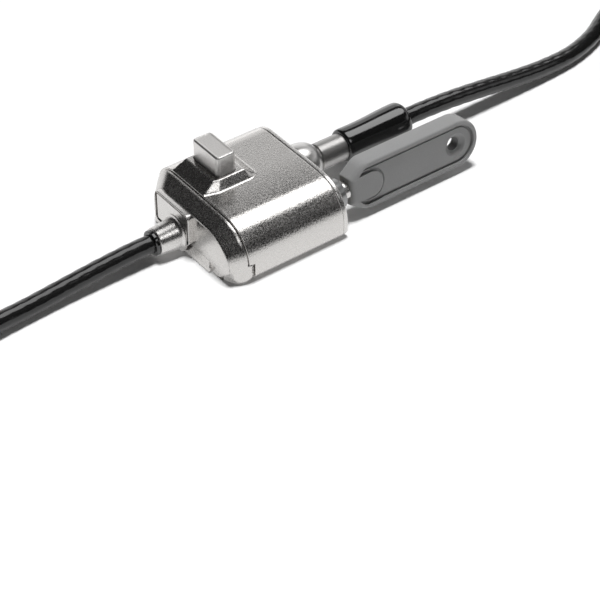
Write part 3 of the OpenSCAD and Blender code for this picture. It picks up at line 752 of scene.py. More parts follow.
@dataclass
class HousingOutline:
    """The housing's outline across X."""

    width: float = 40.6
    height: float = 15.2
    front_r: float = 10.2
    back_r: float = 7.6
    low_r: float = 1.7
    plate_half: float = 16.5
    crown: float = 3.2
    crown_from: float = -0.5
    flat_steps: int = 88

    def over(self, inset: float, foot: float) -> list[Point2]:
        """Gives the outline from the front lip over the top to the back lip.

        Args:
            inset: How far the outline is drawn in.
            foot: The height of its lower edge.

        Returns:
            Points of Y and Z.
        """
        half = self.width / 2
        low = [(self.plate_half, foot + inset)]
        low += arc((half - self.low_r, foot + self.low_r), self.low_r - inset, -90.0, 0.0, 10)
        lean = radians(self.crown)
        run = half - self.front_r + self.front_r * sin(lean) + self.crown_from
        drop = run * sin(lean) / cos(lean) / 2 - self.front_r * (1 - cos(lean))
        sides = [
            low + arc((half - radius, self.height - radius - fall), radius - inset, 0.0, 90.0 - turn, 48)
            for radius, fall, turn in ((self.front_r, drop, self.crown), (self.back_r, 0.0, 0.0))
        ]
        front = [(-y, z) for y, z in sides[0]]
        (start, end), high = front[-1], self.height - inset
        flat = []
        for y, _ in line(front[-1], sides[1][-1], self.flat_steps):
            share = max(self.crown_from - y, 0.0) / (self.crown_from - start)
            flat.append((y, high - (high - end) * share * share))
        return front + flat + sides[1][::-1]


@dataclass
class Pedestal:
    """The raised seat round the button, as a height over the cover."""

    top: float = 17.4
    rise: float = 2.2
    start: float = -8.35
    end: float = 1.05
    front: float = 0.3
    back: float = 13.0
    slope_left: float = 4.0
    slope_right: float = 3.0
    slope_front: float = 1.9
    slope_back: float = 0.5
    corner: float = 0.22
    edge: float = 0.22
    fillet: float = 0.45

    def over(self, x: float, y: float, height: float) -> float:
        """Gives the surface's height at a point.

        Args:
            x: Place along X.
            y: Place along Y.
            height: The cover's own height there.

        Returns:
            The height with the pedestal blended in.
        """
        left, right = (self.start - x) / self.slope_left, (x - self.end) / self.slope_right
        along = max(left, right)
        across = max((self.front - y) / self.slope_front, (y - self.back) / self.slope_back)
        if right > 0 and across > 0:
            out = hypot(along, across)
        elif y < self.front + self.slope_front:
            out = smooth_most(max(along, across), 0.5 * left + 0.8 * across + self.corner, 0.06)
        else:
            out = max(along, across)
        slope = self.top - self.rise * out
        return smooth_most(height, -smooth_most(-self.top, -slope, self.edge), self.fillet)


@dataclass
class Housing:
    """The cover, end cap, end plate and their fittings."""

    outline: HousingOutline = field(default_factory=HousingOutline)
    pedestal: Pedestal = field(default_factory=Pedestal)
    x_seam: float = -12.35
    x_left: float = -17.45
    x_right: float = 17.45
    lift: float = 0.4
    wall: float = 1.5
    seam_round: float = 0.2
    seam_gap: float = 0.32
    rim_round: float = 0.4
    cover_steps: int = 116
    hole_l: float = 6.3
    hole_w: float = 11.7
    hole_r: float = 1.3
    hole_span: Point2 = (10.0, 22.0)
    tab_l: float = 1.7
    tab_top: float = 5.45
    tab_gap: float = 0.12
    tab_drop: float = 0.3
    bevel: float = 2.1
    bevel_back: float = 5.4
    cap_round: float = 0.42
    cap_deep: float = 0.7
    cap_steps: int = 13
    corner_low: float = 0.8
    corner_fade: float = 3.4
    plate_out: float = 1.4
    plate_back: float = 1.5
    plate_rim: float = 0.12
    plate_deep: float = 1.56
    plate_near: float = 0.2
    plate_far: float = 0.45
    key_hole: float = 4.3
    rope_hole: float = 4.25
    pad_thick: float = 1.5
    pad_wide: float = 15.1
    pad_tall: float = 9.5
    pad_y: float = 4.45
    pad_r: float = 1.4
    boss_mouth: float = -25.45
    boss_r: float = 3.7
    boss_root_r: float = 4.2
    boss_bore: float = 2.96
    boss_lip: float = 0.35
    boss_fillet: float = 0.9
    foot_y: float = 0.8
    table_gap: float = 0.03

    # How far behind the seam, and how far drawn in, the cap's first edge lies.
    SEAM_EDGE = ((0.0, 0.25), (0.05, 0.17), (0.1, 0.14), (0.76, 0.0))
    # How far from the outer face, and how far in from the cover's line, the cap's front corner lies.
    CORNER_PLAN = (
        (-0.1, 6.3), (0.4, 4.8), (0.9, 3.4), (1.5, 2.0), (2.1, 1.0), (2.8, 0.4), (3.6, 0.1), (5.2, 0.0),
    )
    # The pad's places behind its face, and how far it is drawn in there, round its recessed middle.
    PAD_EDGE = ((0.26, 0.0), (0.2, 0.0), (0.05, 0.06), (0.0, 0.2), (0.7, 0.34), (0.7, 0.86), (0.15, 0.9))
    # The foot's height, reach and half width.
    FOOT = ((0.03, 0.7, 11.2), (0.15, 0.8, 11.5), (0.5, 0.8, 11.6), (1.2, 0.45, 11.4), (3.0, 0.02, 10.8))

    def build(self) -> None:
        """Builds every piece of the housing."""
        self.cover()
        self.end_cap()
        self.end_plate()
        self.pad()
        self.foot()
        self.boss()

    def on_side(self, y: float) -> bool:
        """Tells whether a point lies on a side wall, where the cap's tabs are."""
        return abs(y) > self.outline.plate_half - 0.1

    def cover(self) -> None:
        """Builds the cover: a skin over the outline, carved for the button."""
        arcs = [radians(90.0 * i / 5) for i in range(6)]
        start, end = self.x_seam + self.seam_round, self.x_right - self.rim_round
        outer = [(start - self.seam_round * cos(a), self.seam_round * (1 - sin(a))) for a in arcs]
        steps = self.cover_steps
        outer += [(start + (end - start) * i / steps, 0.0) for i in range(1, steps)]
        outer += [(end + self.rim_round * sin(a), self.rim_round * (1 - cos(a))) for a in arcs]
        loop = outer + [(self.x_right, self.wall), (self.x_seam, self.wall)]
        solid = Solid()
        rings = []
        for x, inset in loop:
            ring = []
            for y, z in self.outline.over(inset, self.lift):
                shift = self.tab_l * (self.x_right - x) / (self.x_right - self.x_seam)
                there = x + shift if z < self.tab_top and self.on_side(y) else x
                high = z if inset == self.wall else self.pedestal.over(x, y, z + inset) - inset
                ring.append((there, y, high if z > self.outline.height - self.outline.back_r else z))
            rings.append(solid.add_loop(ring))
        for low, high in zip(rings, rings[1:] + rings[:1]):
            solid.bridge(low, high, closed=False)
        for lip in (0, -1):
            solid.cap([ring[lip] for ring in rings])
        cover = Piece("cover_skin", solid, Finish.CAST, sharp=55.0).make("cover")
        hole = Solid()
        edge = round_rect(self.hole_l, self.hole_w, self.hole_r, BUTTON_AT)
        hole.loft([hole.add_loop((x, y, z) for x, y in edge) for z in self.hole_span])
        carve(cover, hole)

    def corner_shift(self, x: float, z: float, share: float) -> float:
        """Gives how far the cap's front wall moves to round its corner near the table.

        Args:
            x: Place along the housing.
            z: Height above the table.
            share: Share of the way from the seam to the outer face.

        Returns:
            The way along y, positive towards the middle.
        """
        away, wanted = x - self.x_left, 0.0
        for (near, deep), (far, shallow) in zip(self.CORNER_PLAN, self.CORNER_PLAN[1:]):
            if away <= far:
                mix = max(0.0, (away - near) / (far - near))
                wanted = deep + (shallow - deep) * mix
                break
        return (wanted - self.bevel * share) * (1 - ease((z - self.corner_low) / self.corner_fade))

    def end_cap(self) -> None:
        """Builds the end cap, which draws in towards its outer face."""
        arcs = [radians(90.0 * i / 4) for i in range(5)]
        edge, seam = self.cap_round, self.x_seam - self.seam_gap
        first, step = 0.9, 0.3
        stations = [(self.x_seam, self.cap_deep), (seam, self.cap_deep)]
        stations += [(seam - behind, inset) for behind, inset in self.SEAM_EDGE]
        stations += [(seam - first - step * i, 0.0) for i in range(self.cap_steps)]
        stations += [(self.x_left + edge * (1 - sin(a)), edge * (1 - cos(a))) for a in arcs]
        both = self.bevel + self.bevel_back
        solid = Solid()
        rings = []
        for x, inset in stations:
            share = (self.x_seam - x) / (self.x_seam - self.x_left)
            wide = 1 - both / self.outline.width * share
            shift = (self.bevel - self.bevel_back) / 2 * share
            tall = 1 - self.bevel / self.outline.height * share
            ring = []
            for y, z in self.outline.over(inset, 0.0):
                on_tab = z < self.tab_top - self.tab_drop and self.on_side(y)
                tab = self.tab_l - self.tab_gap if on_tab else 0.0
                corner = self.corner_shift(x, z, share) if y < -self.outline.plate_half else 0.0
                ring.append((x + tab * (1 - share) ** 4, y * wide + shift + corner, z * tall))
            rings.append(solid.add_loop(ring))
        solid.loft(rings)
        Piece("end_cap_shell", solid, Finish.CAST, sharp=26.0).make("end_cap")

    def end_plate(self) -> None:
        """Builds the end plate, which stands out of the cover's end and has two holes."""
        solid = Solid()
        face, near, far = self.x_right + self.plate_out, self.plate_near, self.plate_far
        root = self.x_right + 0.02
        stations = [(self.x_right - self.plate_back, self.plate_deep), (root, self.plate_deep)]
        for a in angles(0, 30, 60, 90):
            stations.append((root + near * (1 - cos(a)), self.plate_rim + near * (1 - sin(a))))
        for a in angles(90, 70, 50, 30, 10):
            stations.append((face - far * (1 - cos(a)), self.plate_rim + far * (1 - sin(a))))
        rings = []
        for x, inset in stations:
            rings.append(solid.add_loop((x, y, z) for y, z in self.outline.over(inset, self.lift)))
        solid.loft(rings, capped=False)
        holes = []
        for x in (stations[0][0], stations[-1][0]):
            pair = (circle(KEY_AT, self.key_hole, 48), circle(ROPE_AT, self.rope_hole, 48))
            holes.append([solid.add_loop((x, y, z) for y, z in hole) for hole in pair])
        solid.fill([rings[0], *holes[0]])
        solid.fill([rings[-1], *holes[1]])
        for inner, outer in zip(*holes):
            solid.bridge(inner, outer)
        Piece("end_plate_disc", solid, Finish.END).make("end_plate")

    def pad(self) -> None:
        """Builds the raised pad on the cap's outer face, with the groove inside its rim."""
        wide, tall = self.pad_wide, self.pad_tall
        centre = (self.pad_y, self.outline.height - self.bevel - tall / 2)
        face = self.x_left - self.pad_thick
        stations = [(self.x_left + 0.4, 0.3)] + [(face + behind, inset) for behind, inset in self.PAD_EDGE]
        least = 0.45
        solid = Solid()
        rings = []
        for x, inset in stations:
            edge = round_rect(wide - 2 * inset, tall - 2 * inset, max(self.pad_r - inset, least), centre)
            rings.append(solid.add_loop((x, y, z) for y, z in edge))
        solid.loft(rings)
        Piece("cap_pad", solid, Finish.END, sharp=40.0).make()

    def boss(self) -> None:
        """Builds the socket boss, which flares into the pad and stays above the table."""
        mouth, bore, lip = self.boss_mouth, self.boss_bore, self.boss_lip
        root, root_r, flare = self.x_left - self.pad_thick, self.boss_root_r, self.boss_fillet
        back, break_edge = mouth + 6.0, 0.15
        profile = [(back, bore), (mouth + break_edge, bore), (mouth, bore + break_edge)]
        profile += [(mouth, self.boss_r - lip)]
        for a in angles(30, 60, 90):
            profile.append((mouth + lip * (1 - cos(a)), self.boss_r - lip * (1 - sin(a))))
        profile.append((root - flare, root_r - 0.05))
        for a in angles(25, 50, 70, 90):
            profile.append((root - flare + flare * sin(a), root_r + flare * (1 - cos(a))))
        profile += [(root + 0.3, root_r + flare), (back, root_r)]
        solid = Solid()
        solid.lathe(profile, PLUG_AT, closed=True)
        solid.points = [(x, y, max(z, self.table_gap)) for x, y, z in solid.points]
        Piece("cap_boss", solid, Finish.END).make()

    def foot(self) -> None:
        """Builds the ramp at the foot of the cap's outer face."""
        solid = Solid()
        rings = []
        buried = 0.4
        for z, reach, half in self.FOOT:
            deep = reach + buried
            centre = (self.x_left + buried - deep / 2, self.foot_y)
            edge = round_rect(deep, 2 * half, min(0.4, deep * 0.45), centre)
            rings.append(solid.add_loop((x, y, z) for x, y in edge))
        solid.loft(rings)
        Piece("cap_foot", solid, Finish.CAST, sharp=60.0).make()


@dataclass
class Button:
    """The push button on the pedestal."""

    at: Point2 = BUTTON_AT
    length: float = 6.0
    width: float = 11.4
    corner: float = 1.2
    top: float = 23.1
    rounding: float = 0.55
    dish: float = 0.06
    draft: float = 0.04

    # Heights on the sides, with the share of the draft that is reached there.
    SIDES = ((12.4, 0.0), (17.6, 0.0), (18.6, 0.6), (20.0, 1.0))

    def build(self) -> None:
        """Builds the button with a flat top inside a narrow rounded edge."""
        solid = Solid()
        levels = [(z, self.draft * share) for z, share in self.SIDES]
        for a in angles(0, 20, 40, 60, 80, 90):
            fall, inset = self.rounding * (1 - sin(a)), self.rounding * (1 - cos(a))
            levels.append((self.top - fall, self.draft + inset))
        border, floor = self.draft + self.rounding, self.top - self.dish
        levels += [(self.top, border + 0.12), (floor, border + 0.3), (floor, border + 0.5)]
        rings = []
        for z, inset in levels:
            size = (self.length - 2 * inset, self.width - 2 * inset, max(self.corner - inset, 0.25))
            rings.append(solid.add_loop((x, y, z) for x, y in round_rect(*size, self.at)))
        solid.loft(rings)
        Piece("button_cap", solid, Finish.BUTTON, body="button", sharp=25.0).make("button")


# ------------------------------------------------------------------ key


@dataclass
class KeyCylinder:
    """The nose of the key cylinder that stands out of the end plate."""

    middle: Point2 = KEY_AT
    start: float = -0.05
    step: float = 15.9
    face: float = 21.05
    body_r: float = 4.6
    radius: float = 4.25
    bore: float = 3.16

    # The chamfer's places behind the face, and how far it is drawn in there.
    CHAMFER = ((0.4, 0.0), (0.12, 0.14), (0.0, 0.45))

    def build(self) -> None:
        """Builds the barrel, whose nose has a chamfered face."""
        profile = [(self.start, self.bore), (self.start, self.body_r), (self.step, self.body_r)]
        profile += [(self.step, self.radius)]
        profile += [(self.face - behind, self.radius - inset) for behind, inset in self.CHAMFER]
        profile += [(self.face, self.bore)]
        solid = Solid()
        solid.lathe(profile, self.middle, closed=True)
        # The nose gets the darker finish, which is painted shade for the shade between the key grip and the
        # end plate.
        Piece("cylinder_nose", solid, Finish.NOSE).make("barrel")


@dataclass
class KeyGrip:
    """The key's moulded grip, drawn along X and across, then tilted about its own line."""

    at: Point3 = (23.15, *KEY_AT)
    tilt: float = 8.0
    length: float = 42.8
    width: float = 13.6
    thick: float = 5.8
    neck: float = 7.8
    neck_r: float = 0.5
    soft: float = 2.6
    soft_end: float = 7.0
    soft_run: float = 5.0
    shoulder: float = 4.2
    shoulder_r: float = 6.0
    edge_r: float = 0.55
    recess_edge: float = 0.18
    rim: float = 1.3
    panel: float = 0.45
    groove: float = 0.4
    tongue_end: float = 10.5
    tongue_r: float = 3.6
    tongue_root: float = 1.1
    panel_r: float = 1.6
    ring_back: float = 0.6
    ring_r: float = 2.0
    recess_r: float = 3.2
    recess: float = 1.0

    def spot(self, u: float, w: float, t: float) -> Point3:
        """Gives the place of a point along, across and through the grip.

        Args:
            u: Way along the grip.
            w: Way across it.
            t: Way through it.

        Returns:
            The place.
        """
        a = radians(-self.tilt)
        y, z = t * cos(a) - w * sin(a), t * sin(a) + w * cos(a)
        return (self.at[0] + u, self.at[1] + y, self.at[2] + z)

    def outer(self, inset: float) -> list[Point2]:
        """Gives the grip's outline, drawn in by inset.

        Args:
            inset: How far it is drawn in.

        Returns:
            The closed outline.
        """
        half, neck = self.width / 2 - inset, self.neck / 2 - inset
        end = self.length - self.width / 2
        tip = arc((end, 0.0), half, -90.0, 90.0, 40)
        slope = self.shoulder + inset / 2
        mid = end / 2
        low = [(inset, -neck, self.neck_r), (slope, -half, self.shoulder_r), (mid, -half, 0)]
        high = [(mid, half, 0), (slope, half, self.shoulder_r), (inset, neck, self.neck_r)]
        corners = low + [(x, y, 0.0) for x, y in tip] + high
        return round_corners(corners)

    def rounded(self, inset: float, face: float, drop: float) -> list[Point3]:
        """Gives a loop on the grip's rounded border, which grows towards the neck.

        Args:
            inset: How far the loop is drawn in.
            face: The face's place through the grip.
            drop: How far the loop lies below the face.

        Returns:
            The loop's points.
        """
        near, far = self.outer(inset), self.outer(self.soft * inset)
        points = []
        for (u, w), (v, y) in zip(near, far):
            share = ease((self.soft_end - u) / self.soft_run)
            grown = 1 + (self.soft - 1) * share
            points.append(self.spot(u + (v - u) * share, w + (y - w) * share, face - drop * grown))
        return points

    def panel_edge(self, inset: float = 0.0) -> list[Point2]:
        """Gives the outline of the panel inside the rim and round the tongue.

        Args:
            inset: How far the panel is drawn in.

        Returns:
            The closed outline.
        """
        half = self.width / 2 - self.rim - inset
        end = self.length - self.width / 2
        slope = self.shoulder + (self.rim + inset) / 2
        tip = arc((end, 0.0), half, -90.0, 90.0, 36)
        middle, tongue_r = self.tongue_end - self.tongue_r, self.tongue_r + inset
        tongue = arc((middle, 0.0), tongue_r, 90.0, -90.0, 24)
        root = self.rim + self.tongue_root + 1.8 * inset
        low = [(root, -tongue_r, 0.2), (slope, -half, self.panel_r - inset)]
        high = [(slope, half, self.panel_r - inset), (root, tongue_r, 0.2)]
        corners = low + [(x, y, 0.0) for x, y in tip] + high + [(x, y, 0.0) for x, y in tongue]
        return round_corners(corners, 5)

    def build(self) -> None:
        """Builds the grip from loops at the depths of its rim, panel and recess."""
        solid = Solid()
        ring_at = (self.length - self.width / 2 - self.ring_back, 0.0)
        edge, corner = self.edge_r, self.recess_edge
        panel, recess = self.panel_edge(), circle(ring_at, self.recess_r, 40)
        bowl, hole = circle(ring_at, self.ring_r + 0.25, 40), circle(ring_at, self.ring_r, 40)
        soft = circle(ring_at, self.recess_r + corner, 40)
        sides = []
        for side in (-1, 1):
            face = side * self.thick / 2
            floor, low = face - side * self.panel, face - side * (self.panel + self.recess)
            border = [(edge * (1 - cos(a)), side * edge * (1 - sin(a))) for a in angles(0, 22, 45, 67, 90)]
            walls = [solid.add_loop(self.rounded(inset, face, drop)) for inset, drop in border]
            deep = floor - side * self.groove
            loops = [(panel, face), (panel, deep)]
            loops += [(self.panel_edge(0.5), deep), (self.panel_edge(0.8), floor)]
            loops += [(soft, floor), (recess, floor - side * corner), (bowl, low), (hole, low)]
            rim, wall, bottom, base, lip, step, bed, bore = [
                solid.add_loop(self.spot(u, w, t) for u, w in shape) for shape, t in loops
            ]
            for outer, inner in zip(walls, walls[1:]):
                solid.bridge(outer, inner)
            solid.fill([walls[-1], rim])
            for outer, inner in ((rim, wall), (wall, bottom), (bottom, base)):
                solid.bridge(outer, inner)
            solid.fill([base, lip])
            for outer, inner in ((lip, step), (step, bed), (bed, bore)):
                solid.bridge(outer, inner)
            sides.append((walls[0], bore))
        for front, back in zip(*sides):
            solid.bridge(front, back)
        Piece("key_handle", solid, Finish.KEY, body="key", sharp=38.0).make("key_grip")


# ------------------------------------------------------------------ cable fittings


@dataclass
class Fittings:
    """The main cable's collar, ferrule and sleeve, and the lead's plug."""

    face: float = 18.85
    collar_end: float = 26.55
    ferrule_end: float = 34.95
    sleeve_end: float = 56.75
    bore: float = 2.55
    collar_bore: float = 2.6
    flange_back: float = 2.9
    ferrule_r: float = 3.75
    sleeve_neck: float = 3.8
    plug_back: float = -25.75
    plug_tip: float = 1.05
    plug_r: float = 2.9
    plug_neck: float = 1.55
    bolt_x: float = -3.65
    bolt_half: float = 1.5

    # The sleeve's radius at shares of its length.
    SWELL = ((0.08, 4.68), (0.2, 4.66), (0.35, 4.68), (0.5, 4.82), (0.65, 5.02), (0.78, 5.14), (0.86, 5.18))
    # The plug's black rim: place behind the plug's own end, and radius.
    RIM = ((0.8, 2.5), (0.8, 3.1), (0.6, 3.4), (0.0, 3.45), (0.0, 2.5))

    def build(self) -> None:
        """Builds the fittings."""
        self.collar()
        self.ferrule()
        self.sleeve()
        self.plug()

    def collar(self) -> None:
        """Builds the domed collar with its neck and inner flange."""
        inner, end, bore = self.face - self.flange_back, self.collar_end, self.collar_bore
        flange_r, neck_r, foot = 5.0, 4.2, end - 5.4
        profile = [(inner - 2.0, bore), (inner - 2.0, flange_r), (inner, flange_r), (inner, neck_r)]
        profile += [(self.face, neck_r), (self.face, 5.3), (self.face + 0.2, 5.7), (self.face + 0.6, 5.85)]
        profile += [(foot + 4.9 * sin(a), 3.5 + 2.35 * cos(a)) for a in angles(*range(0, 91, 9))]
        profile += [(end, 3.4), (end, bore)]
        solid = Solid()
        solid.lathe(profile, ROPE_AT, closed=True)
        Piece("collar_dome", solid, Finish.POLISHED, sharp=40.0).make("collar")

    def ferrule(self) -> None:
        """Builds the crimped ferrule, with a rounded inner end."""
        start, end, r = self.collar_end, self.ferrule_end, self.ferrule_r
        profile = [(start, self.bore), (start, r - 0.35), (start + 0.12, r - 0.15), (start + 0.35, r)]
        profile += [(end, r), (end, self.bore)]
        solid = Solid()
        solid.lathe(profile, ROPE_AT, closed=True)
        Piece("ferrule_tube", solid, Finish.CRIMPED).make("ferrule")

    def sleeve(self) -> None:
        """Builds the black sleeve, which swells towards its rounded outer end."""
        start, end, neck = self.ferrule_end, self.sleeve_end, self.sleeve_neck
        profile: list[Point2] = [(start, self.bore), (start, neck)]
        for a in angles(20, 40, 60, 80):
            profile.append((start + 0.9 * (1 - cos(a)), neck + 0.85 * sin(a)))
        profile += [(start + (end - start) * share, r) for share, r in self.SWELL]
        for a in angles(*range(8, 91, 9)):
            profile.append((end - 2.3 + 2.2 * sin(a), 3.0 + 2.18 * cos(a)))
        profile += [(end, self.bore)]
        solid = Solid()
        solid.lathe(profile, ROPE_AT, closed=True)
        Piece("sleeve_grip", solid, Finish.SLEEVE, sharp=60.0).make("sleeve")

    def plug(self) -> None:
        """Builds the plug with the neck that the bolt enters, and its black rim."""
        back, tip, r = self.plug_back, self.plug_tip, self.plug_r
        low, high = self.bolt_x - self.bolt_half, self.bolt_x + self.bolt_half
        profile = [(back - 0.2, 2.4), (back, r), (low, r), (low, self.plug_neck)]
        profile += [(high, self.plug_neck), (high, r), (tip - 1.0, r)]
        profile += [(tip - 1.0 + sin(a), r - 1 + cos(a)) for a in angles(20, 45, 70, 90)]
        solid = Solid()
        solid.lathe(profile, PLUG_AT)
        Piece("plug_pin", solid, Finish.END, body="lead").make("plug")
        rim = Solid()
        rim.lathe([(back - behind, radius) for behind, radius in self.RIM], PLUG_AT, closed=True)
        Piece("plug_rim", rim, Finish.SLEEVE, body="lead").make()


# ------------------------------------------------------------------ cables


def along(points: Sequence[Point3], step: float) -> list[Vector]:
    """Gives a smooth line through points.

    Args:
        points: The points.
        step: The distance from place to place on the line.

    Returns:
        Places on the line.
    """
    knots = [Vector(p) for p in points]
    knots = [2 * knots[0] - knots[1], *knots, 2 * knots[-1] - knots[-2]]
    made: list[Vector] = []
    for a, b, c, d in zip(knots, knots[1:], knots[2:], knots[3:]):
        gaps = [max(sqrt((q - p).length), 1e-6) for p, q in ((a, b), (b, c), (c, d))]
        start = (b - a) / gaps[0] - (c - a) / (gaps[0] + gaps[1]) + (c - b) / gaps[1]
        end = (c - b) / gaps[1] - (d - b) / (gaps[1] + gaps[2]) + (d - c) / gaps[2]
        start, end = start * gaps[1], end * gaps[1]
        count = max(1, round((c - b).length / step))
        for i in range(count):
            t = i / count
            made.append(
                b * (2 * t**3 - 3 * t**2 + 1) + start * (t**3 - 2 * t**2 + t)
                + c * (3 * t**2 - 2 * t**3) + end * (t**3 - t**2)
            )
    made.append(knots[-2])
    return made


@dataclass
class Strand:
    """A coated cable: a tube whose coat shows the twist of the strands in it."""

    radius: float = 2.5
    lobes: int = 6
    relief: float = 0.045
    lay: float = 26.0
    sides: int = 30
    step: float = 1.4

    def solid(self, places: Sequence[Vector]) -> Solid:
        """Sweeps the tube along its places.

        Args:
            places: Places on the centreline.

        Returns:
            The tube's mesh.
        """
        made = Solid()
        rings = []
        run, side = 0.0, Vector((0.0, 0.0, 1.0))
        for i, place in enumerate(places):
            ahead = places[min(i + 1, len(places) - 1)] - places[max(i - 1, 0)]
            ahead.normalize()
            side = (side - ahead * side.dot(ahead)).normalized()
            up = ahead.cross(side)
            run += (place - places[i - 1]).length if i else 0.0
            ring = []
            for k in range(self.sides):
                a = 2 * pi * k / self.sides
                dip = (1 - cos(self.lobes * (a - 2 * pi * run / self.lay))) / 2
                r = self.radius * (1 - self.relief * dip)
                ring.append(tuple(place + (side * cos(a) + up * sin(a)) * r))
            rings.append(made.add_loop(ring))
        made.loft(rings)
        return made


@dataclass
class LoopEye:
    """A cable's end: a loop that comes back into a double ferrule."""

    at: Point3
    heading: int
    first: int
    body: str
    node: str
    length: float = 14.0
    pitch: float = 5.4
    wall: float = 1.2
    strand: float = 2.5
    steps: int = 40
    end_round: float = 0.35
    crimp_depth: float = 0.3
    crimp_half: float = 0.09
    crimps: Point2 = (0.3, 0.7)

    SIDE = ((6, 3.9), (12, 7), (18, 11), (24, 14.8), (30, 16.4), (36.3, 15.1), (41.6, 11.6), (45.2, 6.3))
    TIP = (46.4, 0)

    def route(self) -> list[Point3]:
        """Gives the cable's points from the ferrule's mouth round the loop and back.

        Returns:
            The points.
        """
        x, y, z = self.at
        out = [(self.length, self.pitch / 2)] + [(self.length + u, v) for u, v in self.SIDE]
        there = [(x + self.heading * u, y + self.first * v, z) for u, v in out]
        back = [(x + self.heading * u, y - self.first * v, z) for u, v in out[::-1]]
        tip = (x + self.heading * (self.length + self.TIP[0]), y, z)
        start = (x, y + self.first * self.pitch / 2, z)
        last = (x - self.heading * 0.5, y - self.first * self.pitch / 2, z)
        return [start, *there, tip, *back, last]

    def ferrule(self) -> bpy.types.Object:
        """Builds the double ferrule with two crimps.

        Returns:
            The ferrule.
        """
        x, y, z = self.at
        r = self.strand + self.wall
        half = self.pitch / 2
        start = min(x, x + self.heading * self.length)
        solid = Solid()
        rings = []
        for i in range(self.steps + 1):
            share = i / self.steps
            end_round = self.end_round * max(0.0, 1 - min(share, 1 - share) * 30) ** 2
            pressed = sum(max(0.0, 1 - (abs(share - c) / self.crimp_half) ** 2) for c in self.crimps)
            rr = r - end_round - self.crimp_depth * pressed
            edge = arc((half, 0.0), rr, -90.0, 90.0, 16) + arc((-half, 0.0), rr, 90.0, 270.0, 16)
            rings.append(solid.add_loop((start + self.length * share, y + a, z + b) for a, b in edge))
        solid.loft(rings, capped=False)
        bores = []
        for end in (start, start + self.length):
            pair = [circle((s * half, 0.0), self.strand + 0.05, 32) for s in (-1, 1)]
            bores.append([solid.add_loop((end, y + a, z + b) for a, b in hole) for hole in pair])
        solid.fill([rings[0], *bores[0]])
        solid.fill([rings[-1], *bores[1]])
        for low, high in zip(*bores):
            solid.bridge(low, high)
        return Piece(self.node + "_crimp", solid, Finish.POLISHED, body=self.body).make(self.node)


@dataclass
class Hank:
    """The stored length of the main cable, folded into loops in four layers."""

    at: Point2 = (185.6, -6.6)
    height: float = 3.4
    run: float = 26.0
    radius: float = 24.8
    pitch: float = 6.3
    loops: int = 6
    layers: int = 4
    rise: float = 5.5
    waist: float = 0.04
    rings: int = 24
    lead: float = 5.0
    strap_thick: float = 0.7
    strap_wide: float = 9.0

    def on_loop(self, share: float, r: float) -> Point2:
        """Gives a place on a loop of radius r, at a share of it from its back run's middle.

        Args:
            share: The share of the loop.
            r: The loop's radius.

        Returns:
            The place, from the middle of the hank.
        """
        mean = self.radius - self.pitch * self.loops / self.layers / 2
        whole = 4 * self.run + 2 * pi * mean
        straight, bend = self.run / whole, pi * mean / whole

        def on_run(x: float) -> float:
            """Gives how far from the middle line a run lies at x."""
            return r * (1 - self.waist * (1 + cos(pi * x / self.run)) / 2)

        if share < straight:
            x = self.run * share / straight
            return (x, on_run(x))
        if share < straight + bend:
            a = pi * (share - straight) / bend
            return (self.run + r * sin(a), r * cos(a))
        if share < 3 * straight + bend:
            x = self.run * (2 - (share - bend) / straight)
            return (x, -on_run(x))
        if share < 1 - straight:
            a = pi * (share - 3 * straight - bend) / bend
            return (-self.run - r * sin(a), -r * cos(a))
        x = -self.run * (1 - share) / straight
        return (x, on_run(x))

    def point(self, t: float) -> Point3:
        """Gives the place after t loops.

        Args:
            t: The number of loops.

        Returns:
            The place.
        """
        layer = self.loops / self.layers
        m = t % (2 * layer)
        r = self.radius - self.pitch * min(m, 2 * layer - m)
        x, y = self.on_loop(t % 1.0, r)
        climb = 0.0
        for k in range(1, self.layers):
            climb += ease((t - k * layer) * 2 + 0.5)
        return (self.at[0] + x, self.at[1] + y, self.height + self.rise * climb)

    def route(self) -> list[Point3]:
        """Gives the hank's points, with a straight lead at each end.

        Returns:
            The points.
        """
        body = [self.point(i / self.rings) for i in range(self.loops * self.rings + 1)]
        (x, y, z), (u, v, w) = body[0], body[-1]
        ahead = [(x - i * self.lead, y, z) for i in (2, 1)]
        after = [(u + i * self.lead, v, w) for i in (1, 2)]
        return ahead + body + after

    def strap(self) -> bpy.types.Object:
        """Builds the strap round the hank.

        Returns:
            The strap.
        """
        half = self.radius * (1 - self.waist) + 2.9
        top = self.height + self.rise * (self.layers - 1) + 2.65
        low = self.height - 2.6
        solid = Solid()
        thick, wide, middle = self.strap_thick, self.strap_wide, (low + top) / 2
        loops = []
        for x in (-wide / 2, wide / 2):
            outer = round_rect(2 * (half + thick), top - low + 2 * thick, 3.2, (self.at[1], middle))
            inner = round_rect(2 * half, top - low, 2.5, (self.at[1], middle))
            pair = [solid.add_loop((self.at[0] + x, y, z) for y, z in edge) for edge in (outer, inner)]
            loops.append(pair)
            solid.fill(pair)
        for low_loop, high_loop in zip(*loops):
            solid.bridge(low_loop, high_loop)
        return Piece("hank_strap", solid, Finish.STRAP, bevel=0.15, steps=2).make("hank_tie")


